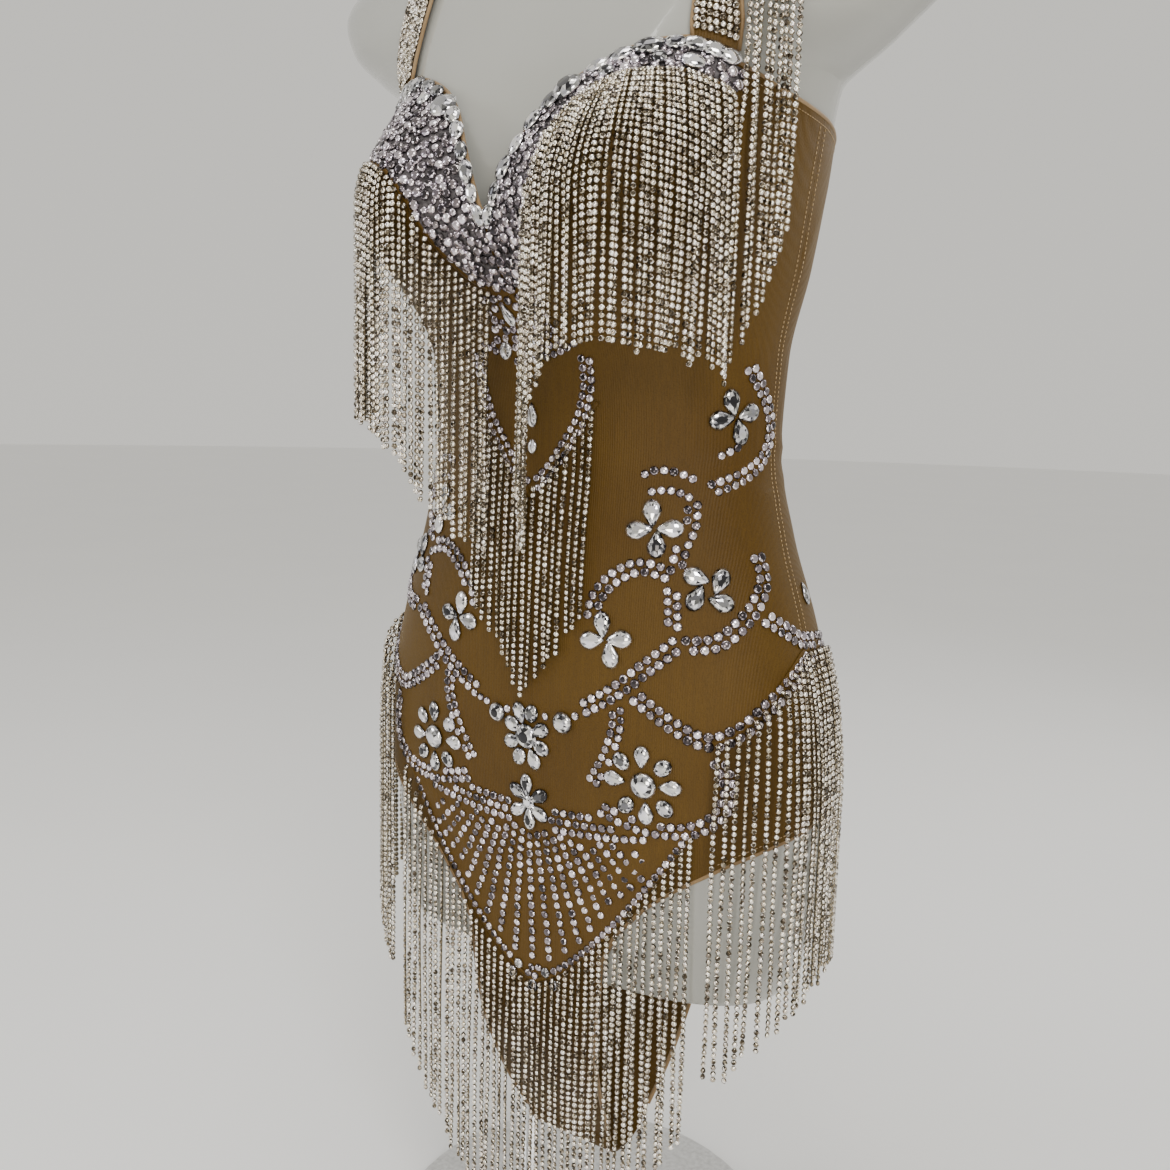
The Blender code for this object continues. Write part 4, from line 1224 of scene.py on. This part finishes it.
# Scrolls on the wearer's left, mirrored for the right: rows, stone width and (bearing, height) stops
SCROLLS = (
    (2, 0.0062, ((72, 0.694), (79, 0.680), (86, 0.663), (87, 0.648), (83, 0.634), (74, 0.624), (65, 0.618),
                 (54, 0.612))),
    (1, 0.0062, ((60, 0.634), (68, 0.640), (77, 0.647))),
    (1, 0.0062, ((52, 0.619), (45, 0.624), (38, 0.625), (32, 0.620))),
    (1, 0.0060, ((50, 0.607), (44, 0.612), (38, 0.612), (33, 0.609))),
    (2, 0.0064, ((50, 0.610), (48.5, 0.592), (44.5, 0.577), (41.5, 0.562))),
    (2, 0.0066, ((41, 0.558), (31, 0.563), (23, 0.555), (17.5, 0.541), (15, 0.522))),
    (2, 0.0064, ((39.5, 0.552), (38.5, 0.537), (37.5, 0.520))),
    (2, 0.0068, ((39.5, 0.517), (29, 0.499), (21, 0.483), (10, 0.463))),
    (2, 0.0068, ((38, 0.514), (51, 0.517), (62, 0.531), (69, 0.543), (74, 0.558), (72, 0.575))),
    (2, 0.0068, ((66, 0.536), (79, 0.523), (88, 0.514), (98, 0.510))),
    (2, 0.0070, ((95, 0.506), (82, 0.494), (68, 0.478), (55, 0.461), (44, 0.453), (34, 0.462),
                 (25, 0.478), (22, 0.486))),
    (2, 0.0066, ((46, 0.443), (49, 0.430), (49, 0.414), (43, 0.398), (34, 0.390), (23, 0.390),
                 (12, 0.398))),
    (2, 0.0062, ((19.5, 0.474), (19, 0.456), (16, 0.434), (11, 0.409))),
    (1, 0.0060, ((12, 0.462), (6, 0.456), (0, 0.454))),
    (2, 0.0058, ((0.6, 0.610), (5.5, 0.624), (10.5, 0.642), (14.5, 0.658), (16.8, 0.680), (16.5, 0.702))),
    (1, 0.0056, ((15, 0.706), (9, 0.699), (3, 0.694))),
)


def smooth_line(stops):
    """A curve through the stops, rounder than straight runs between them."""
    stops = np.asarray(stops, float)
    padded = np.concatenate((2 * stops[:1] - stops[1:2], stops, 2 * stops[-1:] - stops[-2:-1]))
    at = np.linspace(0, len(stops) - 1, SCROLL_SAMPLES)
    i = np.minimum(at.astype(int), len(stops) - 2)
    t = (at - i)[:, None]
    a, b, c, d = (padded[i + k] for k in range(4))
    square, cube = 2 * a - 5 * b + 4 * c - d, 3 * b - a - 3 * c + d
    return 0.5 * (2 * b + (c - a) * t + square * t * t + cube * t ** 3)


def row_places(stops, rows, width):
    """Bearings and heights of stones in one or two staggered rows along a scroll."""
    line = smooth_line(stops)
    path = skin(line[:, 0], line[:, 1], WALL)
    ahead = unit(np.gradient(path, axis=0))
    sideways = np.cross(normal_at(line[:, 0], line[:, 1]), ahead)
    per_degree = on_torso(line[:, 0] + 0.5, line[:, 1]) - on_torso(line[:, 0] - 0.5, line[:, 1])
    paces = np.linalg.norm(per_degree, axis=1)
    pitch = width * ROW_PITCH
    found = []
    for row in range(rows):
        shift = sideways * (row - (rows - 1) / 2) * width * ROW_GAP
        level = (shift * unit(per_degree)).sum(1)
        beside = np.stack((line[:, 0] + level / paces, line[:, 1] + shift[:, 2]), axis=1)
        at = paced(skin(beside[:, 0], beside[:, 1], WALL), pitch, pitch * (0.5 if row % 2 else 0.0))
        found.append(pick(beside, at))
    return np.concatenate(found)


class Spots:
    """Stones already glued, so that no new one lands on them."""

    def __init__(self):
        self.places = np.zeros((0, 3))
        self.radii = np.zeros(0)

    def add(self, places, radii):
        self.places = np.concatenate((self.places, np.atleast_2d(places)))
        self.radii = np.concatenate((self.radii, np.atleast_1d(radii)))

    def take(self, place, radius, slack):
        """Whether a place has room for a stone, which is then taken."""
        gap = np.linalg.norm(self.places - place, axis=1)
        room = bool((gap > (self.radii + radius) * slack).all())
        if room:
            self.add(place, radius)
        return room


SPOTS = Spots()


def glue(name, spots, rng):
    """Round stones glued at (bearing, height, width) spots, each tilted a touch."""
    spots = np.asarray(spots, float)
    tilt = rng.normal(0.0, GLUE_TILT, (len(spots), 3))
    turns = rng.uniform(0, 2 * math.pi, len(spots))
    places, axes = seat(spots[:, 0], spots[:, 1], turns, GLUE_LIFT, tilt)
    sizes = np.repeat(spots[:, 2:3] / 2, 3, axis=1)
    sizes[:, 2] *= GLUE_HEIGHT
    stamps = [(ROUND_STONE, places, axes, sizes, rng)]
    return dress_piece(joined(name, stamps, [RIM, GLUED_FACE]), "cut_crystal")


def make_scrolls():
    rng = np.random.default_rng(7)
    for side, name in SIDES.items():
        found = []
        for rows, width, stops in SCROLLS:
            stops = [(b * side, z) for b, z in stops]
            for bearing, z in row_places(stops, rows, width):
                wide = width * rng.uniform(0.95, 1.05)
                if SPOTS.take(skin(bearing, z, WALL), wide / 2, SCROLL_SLACK):
                    found.append((bearing, z, wide))
        glue("scroll_stones_" + name, found, rng)


# Crystal flowers: name, distance from the centre line, height, petals, reach, turn
FLOWERS = (
    ("flower_side", 0.122, 0.660, 4, 0.0185, 15.0),
    ("flower_waist", 0.088, 0.588, 4, 0.0185, 5.0),
    ("flower_curl", 0.121, 0.550, 4, 0.0185, 35.0),
    ("flower_inner", 0.062, 0.514, 4, 0.0185, 8.0),
    ("flower_hip", 0.090, 0.419, 8, 0.0270, 0.0),
    ("flower_centre", 0.0, 0.438, 8, 0.0245, 22.5),
    ("flower_lower", 0.0, 0.389, 6, 0.0205, 30.0),
)
# Heart's radius, and a petal's half length and half width, by the count of petals
PETALS = {4: (0.0, 0.0087, 0.0062), 6: (0.0050, 0.0084, 0.0052), 8: (0.0090, 0.0078, 0.0056)}
PETAL_HEIGHT = 0.0046
PETAL_TIP = 0.0010
PETAL_STRAY = 0.05
PETAL_KINDS = {"pear": (PEAR, 0.92), "oval": (BIG_ROUND, 0.86)}
CURL_SWIRL = 0.55


def make_flower(name, x, z, petals, reach, turn, rng):
    """Pear and oval crystals round a heart, points inward; the four-petal ones have no heart."""
    centre = float(bearing_of(x, z))
    per_degree = np.linalg.norm(on_torso(centre + 0.5, z) - on_torso(centre - 0.5, z))
    heart, long, wide = PETALS[petals]
    middle = reach + PETAL_TIP - long
    swirl = CURL_SWIRL if name.startswith("flower_curl") else 0.0
    stamps = {kind: [] for kind in PETAL_KINDS}
    for k in range(petals):
        angle = math.radians(turn) + 2 * math.pi * k / petals + rng.normal(0, PETAL_STRAY)
        at = (centre + middle * math.cos(angle) / per_degree, z + middle * math.sin(angle))
        kind = "oval" if petals == 8 and k % 2 else "pear"
        stamps[kind].append((*at, angle + math.pi / 2 + swirl))
    made = []
    for kind, (shape, share) in PETAL_KINDS.items():
        if not stamps[kind]:
            continue
        rows = np.array(stamps[kind])
        places, axes = seat(rows[:, 0], rows[:, 1], rows[:, 2], 0.0)
        sizes = np.tile((wide, long * share, PETAL_HEIGHT), (len(rows), 1))
        made.append((shape, places, axes, sizes, rng))
        SPOTS.add(places, np.full(len(places), (wide + long) / 2))
    if heart:
        places, axes = seat(np.array([centre]), np.array([z]), 0.2, 0.0)
        made.append((BIG_ROUND, places, axes, np.array([(heart, heart, heart * 0.8)]), rng))
        SPOTS.add(places, np.array([heart]))
    piece = joined("crystals_" + name, made, [RIM, CLEAR_FACE])
    return dress_piece(piece, "cut_crystal", name)


def make_flowers():
    rng = np.random.default_rng(21)
    for name, x, z, petals, reach, turn in FLOWERS:
        if not x:
            make_flower(name, x, z, petals, reach, turn, rng)
            continue
        make_flower(name + "_left", x, z, petals, reach, turn, rng)
        make_flower(name + "_right", -x, z, petals, reach, 180.0 - turn, rng)


# Lone crystals: bearing, height, half width, half length, turn in degrees
LONE = (
    (0.0, 0.657, 0.0042, 0.0075, 0),
    (0.0, 0.637, 0.0036, 0.0050, 0),
    (-5.0, 0.451, 0.0068, 0.0068, 0),
    (6.5, 0.453, 0.0075, 0.0075, 0),
    (97.0, 0.541, 0.0044, 0.0072, 10),
    (-97.0, 0.541, 0.0044, 0.0072, -10),
    (0.0, 0.2475, 0.0044, 0.0050, 0),
    (-3.0, 0.2530, 0.0040, 0.0046, 20),
    (3.0, 0.2530, 0.0040, 0.0046, -20),
    (-1.8, 0.2610, 0.0038, 0.0040, 0),
    (1.6, 0.2608, 0.0038, 0.0042, 0),
    (60.5, 0.812, 0.0034, 0.0034, 0),
    (-60.5, 0.812, 0.0034, 0.0034, 0),
    (-2.5, 0.722, 0.0042, 0.0080, 15),
    (2.0, 0.706, 0.0048, 0.0048, 0),
    (-6.0, 0.700, 0.0050, 0.0066, -20),
    (5.0, 0.726, 0.0040, 0.0072, -10),
)
PEAR_FROM = 1.4
LONE_HEIGHT = 0.95


def make_lone():
    rng = np.random.default_rng(33)
    rows = np.array(LONE)
    places, axes = seat(rows[:, 0], rows[:, 1], np.radians(rows[:, 4]), 0.0)
    sizes = np.stack((rows[:, 2], rows[:, 3], rows[:, 2] * LONE_HEIGHT), axis=1)
    SPOTS.add(places, (rows[:, 2] + rows[:, 3]) / 2)
    long = rows[:, 3] > rows[:, 2] * PEAR_FROM
    stamps = [(PEAR, places[long], axes[long], sizes[long], rng),
              (BIG_ROUND, places[~long], axes[~long], sizes[~long], rng)]
    return dress_piece(joined("lone_crystals", stamps, [RIM, CLEAR_FACE]), "cut_crystal")


# Large crystals along a cup's neckline: bearing, drop below the edge, half width, half length
CRUST_LARGE = (
    (1.0, 0.0040, 0.0040, 0.0062),
    (2.6, 0.0042, 0.0036, 0.0058),
    (4.4, 0.0044, 0.0044, 0.0072),
    (6.6, 0.0044, 0.0040, 0.0064),
    (9.2, 0.0044, 0.0044, 0.0070),
    (12.2, 0.0046, 0.0048, 0.0078),
    (15.6, 0.0084, 0.0084, 0.0088),
    (20.5, 0.0044, 0.0042, 0.0066),
    (25.2, 0.0044, 0.0044, 0.0070),
    (31.0, 0.0052, 0.0054, 0.0084),
    (36.6, 0.0044, 0.0040, 0.0064),
    (41.5, 0.0044, 0.0042, 0.0068),
    (46.5, 0.0046, 0.0044, 0.0070),
    (51.0, 0.0050, 0.0042, 0.0066),
    (24.0, 0.0140, 0.0044, 0.0046),
    (35.0, 0.0140, 0.0042, 0.0044),
    (43.0, 0.0150, 0.0044, 0.0068),
)
CRUST_END = 56.5
CRUST_MARGIN = 0.0026
CRUST_LIFT = 0.0006
LARGE_LIFT = 0.0013
LARGE_GROWTH = (1.15, 1.12)
LARGE_ROOM = 0.56
GAP_SHADE_MARGIN = 0.0022
GAP_SHADE_LIFTS = (0.0002, 0.0009)


def crust_top(bearing):
    """Height of the cut edge above the crust, the neckline and then the start of the armhole."""
    side = np.abs(bearing)
    return np.where(side <= CUP_END, NECK_Z(side), ARMHOLE_Z(side))


def crust_low(bearing):
    return cup_line(bearing) + 0.0022


def make_crust_gap_shade(side):
    """A dark layer that shows between the crust's stones: painted shade in the gaps."""
    bearings = np.linspace(0.25, CRUST_END, 90) * side
    top = crust_top(bearings) - GAP_SHADE_MARGIN
    low = crust_low(bearings)
    heights = [low + (top - low) * t for t in np.linspace(0, 1, 22)]
    inner, outer = ([skin(bearings, z, WALL + lift) for z in heights] for lift in GAP_SHADE_LIFTS)
    return grid_wall("crust_gap_shade_" + SIDES[side], inner, outer, CRUST_GAP_SHADE, "cut_crystal")


def make_crust(side):
    """The dense crust of mixed stones between a cup's neckline and its fringe."""
    name = SIDES[side]
    rng = np.random.default_rng(50 + side)
    rows = np.array(CRUST_LARGE)
    bearings = rows[:, 0] * side
    z = crust_top(bearings) - rows[:, 1]
    after, before = bearings + 0.5, bearings - 0.5
    ahead = unit(skin(after, crust_top(after)) - skin(before, crust_top(before)))
    _, level = seat(bearings, z)
    turns = np.arctan2((ahead * level[:, 1]).sum(1), (ahead * level[:, 0]).sum(1)) - math.pi / 2
    places, axes = seat(bearings, z, turns, LARGE_LIFT)
    sizes = np.stack((rows[:, 2] * LARGE_GROWTH[0], rows[:, 3] * LARGE_GROWTH[1], rows[:, 2]), axis=1)
    SPOTS.add(places, (rows[:, 2] + rows[:, 3]) * LARGE_ROOM)
    large = joined("crust_large_" + name, [(BIG_ROUND, places, axes, sizes, rng)], [RIM, CLEAR_FACE])
    dress_piece(large, "cut_crystal")
    found = []
    for width, tries in CRUST_WIDTHS:
        bearings = rng.uniform(0.3, CRUST_END, tries) * side
        shares = rng.uniform(0.0, 1.0, tries)
        low = crust_low(bearings)
        heights = low + (crust_top(bearings) - CRUST_MARGIN - low) * shares
        for bearing, height, place in zip(bearings, heights, skin(bearings, heights, WALL)):
            if SPOTS.take(place, width / 2, CRUST_SLACK):
                found.append((bearing, height, width * rng.uniform(0.94, 1.06)))
    found = np.array(found)
    tilt = rng.normal(0.0, CRUST_TILT, (len(found), 3))
    small, small_axes = seat(found[:, 0], found[:, 1], rng.uniform(0, 6, len(found)), CRUST_LIFT, tilt)
    small_sizes = np.repeat(found[:, 2:3] / 2, 3, axis=1) * (1.0, 1.0, 1.15)
    stamps = [(ROUND_STONE, small, small_axes, small_sizes, rng)]
    return dress_piece(joined("crust_" + name, stamps, [RIM, GLUED_FACE]), "cut_crystal")


COLUMN_WIDTHS = ((0.0066, 300), (0.0056, 900), (0.0044, 1400))
COLUMN_Z = (0.692, 0.700, 0.715, 0.7335)
COLUMN_HALF_X = (0.010, 0.030, 0.024, 0.022)


def make_column():
    """Stones below the centre of the neckline, thinning out to the top of the waist window."""
    rng = np.random.default_rng(61)
    found = []
    for width, tries in COLUMN_WIDTHS:
        z = rng.uniform(COLUMN_Z[0], COLUMN_Z[-1], tries)
        x = rng.uniform(-1.0, 1.0, tries) * np.interp(z, COLUMN_Z, COLUMN_HALF_X)
        for bearing, height in zip(bearing_of(x, z), z):
            if SPOTS.take(skin(bearing, height, WALL), width / 2, FAN_SLACK):
                found.append((bearing, height, width))
    return glue("column_stones", found, rng)


FAN = {"apex_z": 0.436, "start": 0.066, "end": 0.22, "spread": 78.0, "rays": 33, "width": 0.0060,
       "pitch": 0.0066, "draw_in": 0.35, "stretch": 1.10, "top_z": 0.372, "margin": 0.014, "inset": 0.004}
BORDER_LIFTS = (0.0030, 0.0094)
# Rows across the fan's top, which stay clear of the lower flower
ARC = {"half_width": 0.108, "z": 0.386, "rise": 0.10, "pitch": 0.0068, "clear_x": 0.017, "clear_z": 0.366}
ARC_LIFTS = (0.0, -0.0066, -0.0132)


def make_fan():
    """Rays of small stones from below the lower flower out to the edge of the pointed hip line."""
    rng = np.random.default_rng(71)
    found = []

    def add(x, z, width):
        bearing = float(bearing_of(x, z))
        if SPOTS.take(skin(bearing, z, WALL), width / 2, FAN_SLACK):
            found.append((bearing, z, width))

    for row, lift in enumerate(BORDER_LIFTS):
        x = np.linspace(-HIP_V["half_width"], HIP_V["half_width"], 1200)
        z = hip_v_height(x) + lift
        path = skin(bearing_of(x, z), z, WALL)
        at = paced(path, BORDER_STONE, BORDER_STONE / 2 * row)
        for px, pz in zip(pick(x, at), pick(z, at)):
            add(px, pz, BORDER_STONE * rng.uniform(0.96, 1.02))
    for row, lift in enumerate(ARC_LIFTS):
        x = np.linspace(-ARC["half_width"], ARC["half_width"], 900)
        z = ARC["z"] + ARC["rise"] * x * x / ARC["half_width"] + lift
        at = paced(skin(bearing_of(x, z), z, WALL), ARC["pitch"], ARC["pitch"] / 2 * (row % 2))
        for px, pz in zip(pick(x, at), pick(z, at)):
            if abs(px) > ARC["clear_x"] or pz < ARC["clear_z"]:
                add(px, pz, BORDER_STONE * rng.uniform(0.94, 1.04))
    for angle in np.linspace(-FAN["spread"], FAN["spread"], FAN["rays"]):
        turn = math.radians(angle)
        far = FAN["start"] * (1 - FAN["draw_in"] * abs(math.sin(turn)))
        while far < FAN["end"]:
            x = far * math.sin(turn) * FAN["stretch"]
            z = FAN["apex_z"] - far * math.cos(turn)
            if abs(x) > HIP_V["half_width"] - FAN["inset"] or z < hip_v_height(x) + FAN["margin"]:
                break
            if z < FAN["top_z"]:
                add(x + rng.normal(0, 0.0004), z, FAN["width"] * rng.uniform(0.92, 1.08))
            far += FAN["pitch"]
    return glue("fan_stones", found, rng)


HIP_ROW = {"from": 92.0, "to": 268.0, "pitch": 0.0074, "rise": 0.006, "drop": 0.005}


def make_hip_row():
    """Two staggered rows of stones over the strip that carries the long hip tier."""
    rng = np.random.default_rng(81)
    bearings = np.linspace(HIP_ROW["from"], HIP_ROW["to"], 1500)
    z = HIP_LINE_Z(folded(bearings)) + HIP_ROW["rise"]
    path = skin(bearings, z, WALL)
    found = []
    for row in (0, 1):
        at = paced(path, HIP_ROW["pitch"], HIP_ROW["pitch"] / 2 * row)
        heights = pick(z, at) - HIP_ROW["drop"] + BORDER_STONE * row
        for bearing, height in zip(pick(bearings, at), heights):
            if SPOTS.take(skin(bearing, height, WALL), BORDER_STONE / 2, HIP_ROW_SLACK):
                found.append((bearing, height, BORDER_STONE * rng.uniform(0.94, 1.05)))
    return glue("hip_row_stones", found, rng)


# ---- edges and stitches


def edge_paths():
    """Bound edges of the cloth: paths along the cut edges and the way out of the cloth there."""

    def along(bearings, z, rise):
        return skin(bearings, z + rise, WALL / 2), normal_at(bearings, z)

    made = []
    for side in SIDES:
        b = np.linspace(0.0, 38.0, 90)
        made.append(along(b * side, NECK_Z(b), BINDING_RISE))
        b = np.concatenate((np.linspace(CUP_END + 0.4, 90, 40), np.linspace(91, 129, 40)))
        made.append(along(b * side, ARMHOLE_Z(b), BINDING_RISE))
        front, back = np.linspace(TAIL_BEARING, 90, 90), np.linspace(90.5, 162.5, 80)
        halves = (along(front * side, LEG_FRONT_Z(front), -LEG_BINDING_DROP),
                  along(back * side, LEG_BACK_Z(back), -LEG_BINDING_DROP))
        made.append([np.concatenate(parts) for parts in zip(*halves)])
        for share in (-0.5, 0.5):
            path = strap_rows(side, share, WALL / 2)
            made.append((path, unit(strap_rows(side, share, WALL * 2) - path)))
    b = np.linspace(145.5, 214.5, 120)
    made.append(along(b, BACK_NECK_Z(folded(b)), BINDING_RISE))
    return made


def make_bindings():
    raw = []
    for path, normals in edge_paths():
        raw.append((*tube(path, normals, *BINDING), 0))
    for side in SIDES:
        for front in (-1, 1):
            heights = np.concatenate((np.arange(TAIL_TOP, TAIL_LAST_ROW, -TAIL_STEP), [TAIL_END]))
            edge_x = abs(float(skin(TAIL_BEARING, TAIL_TOP)[0]))
            places, outs = tail_rows(front, np.array([1.0 * side]), edge_x, heights)
            path = np.concatenate(places) + np.concatenate(outs) * WALL / 2
            raw.append((*tube(path, np.concatenate(outs), *TAIL_BINDING), 0))
    piece = joined("bound_edges", [], [EDGE], raw)
    for polygon in piece.data.polygons:
        polygon.use_smooth = True
    return dress_piece(piece, "stretch_mesh")


def make_stitches():
    rng = np.random.default_rng(91)
    rows = []
    for side in (90.0, -90.0):
        z = np.linspace(0.396, 0.842, 400)
        for offset in (-1.3, 1.3):
            rows.append(np.stack((np.full(400, side + offset), z), axis=1))
    for side in SIDES:
        for first, last, count, height, rise in ((53.5, 129.0, 300, ARMHOLE_Z, -STITCH_INSET),
                                                 (46.0, 90.0, 240, LEG_FRONT_Z, STITCH_INSET),
                                                 (90.0, 160.0, 300, LEG_BACK_Z, STITCH_INSET)):
            b = np.linspace(first, last, count)
            rows.append(np.stack((b * side, height(b) + rise), axis=1))
    b = np.linspace(146.0, 214.0, 300)
    rows.append(np.stack((b, BACK_NECK_Z(folded(b)) - STITCH_INSET), axis=1))
    places, axes = [], []
    for line in rows:
        path = cloth_point(line[:, 0], line[:, 1], WALL)
        at = paced(path, STITCH_PITCH)
        ahead = unit(pick(np.gradient(path, axis=0), at))
        centre = pick(line, at)
        out = normal_at(centre[:, 0], centre[:, 1])
        places.append(pick(path, at))
        axes.append(np.stack((np.cross(ahead, out), ahead, out), axis=1))
    places, axes = np.concatenate(places), np.concatenate(axes)
    sizes = np.tile(STITCH_SIZE, (len(places), 1))
    piece = joined("seam_stitches", [(STITCH, places, axes, sizes, rng)], [THREAD, THREAD])
    return dress_piece(piece, "stretch_mesh")


make_form()
make_front()
make_back()
make_gusset()
for half in SIDES:
    make_cup(half)
    make_strap(half)
make_flowers()
make_lone()
make_scrolls()
for half in SIDES:
    make_crust_gap_shade(half)
    make_crust(half)
make_column()
make_fan()
make_hip_row()
for half in SIDES:
    make_cup_fringe(half)
    make_strap_chain(half)
make_shoulder_fringe()
make_v_fringe("chain_waist", WAIST_V, waist_v_height, "fringe_waist_v", forward=True)
make_v_fringe("chain_hip_front", HIP_V, hip_v_height, "fringe_hip_front")
make_hip_back()
make_bindings()
make_stitches()
for node in ("stand_base", "stand_pole"):
    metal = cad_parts[node]
    metal.data.materials.clear()
    metal.data.materials.append(STEEL)
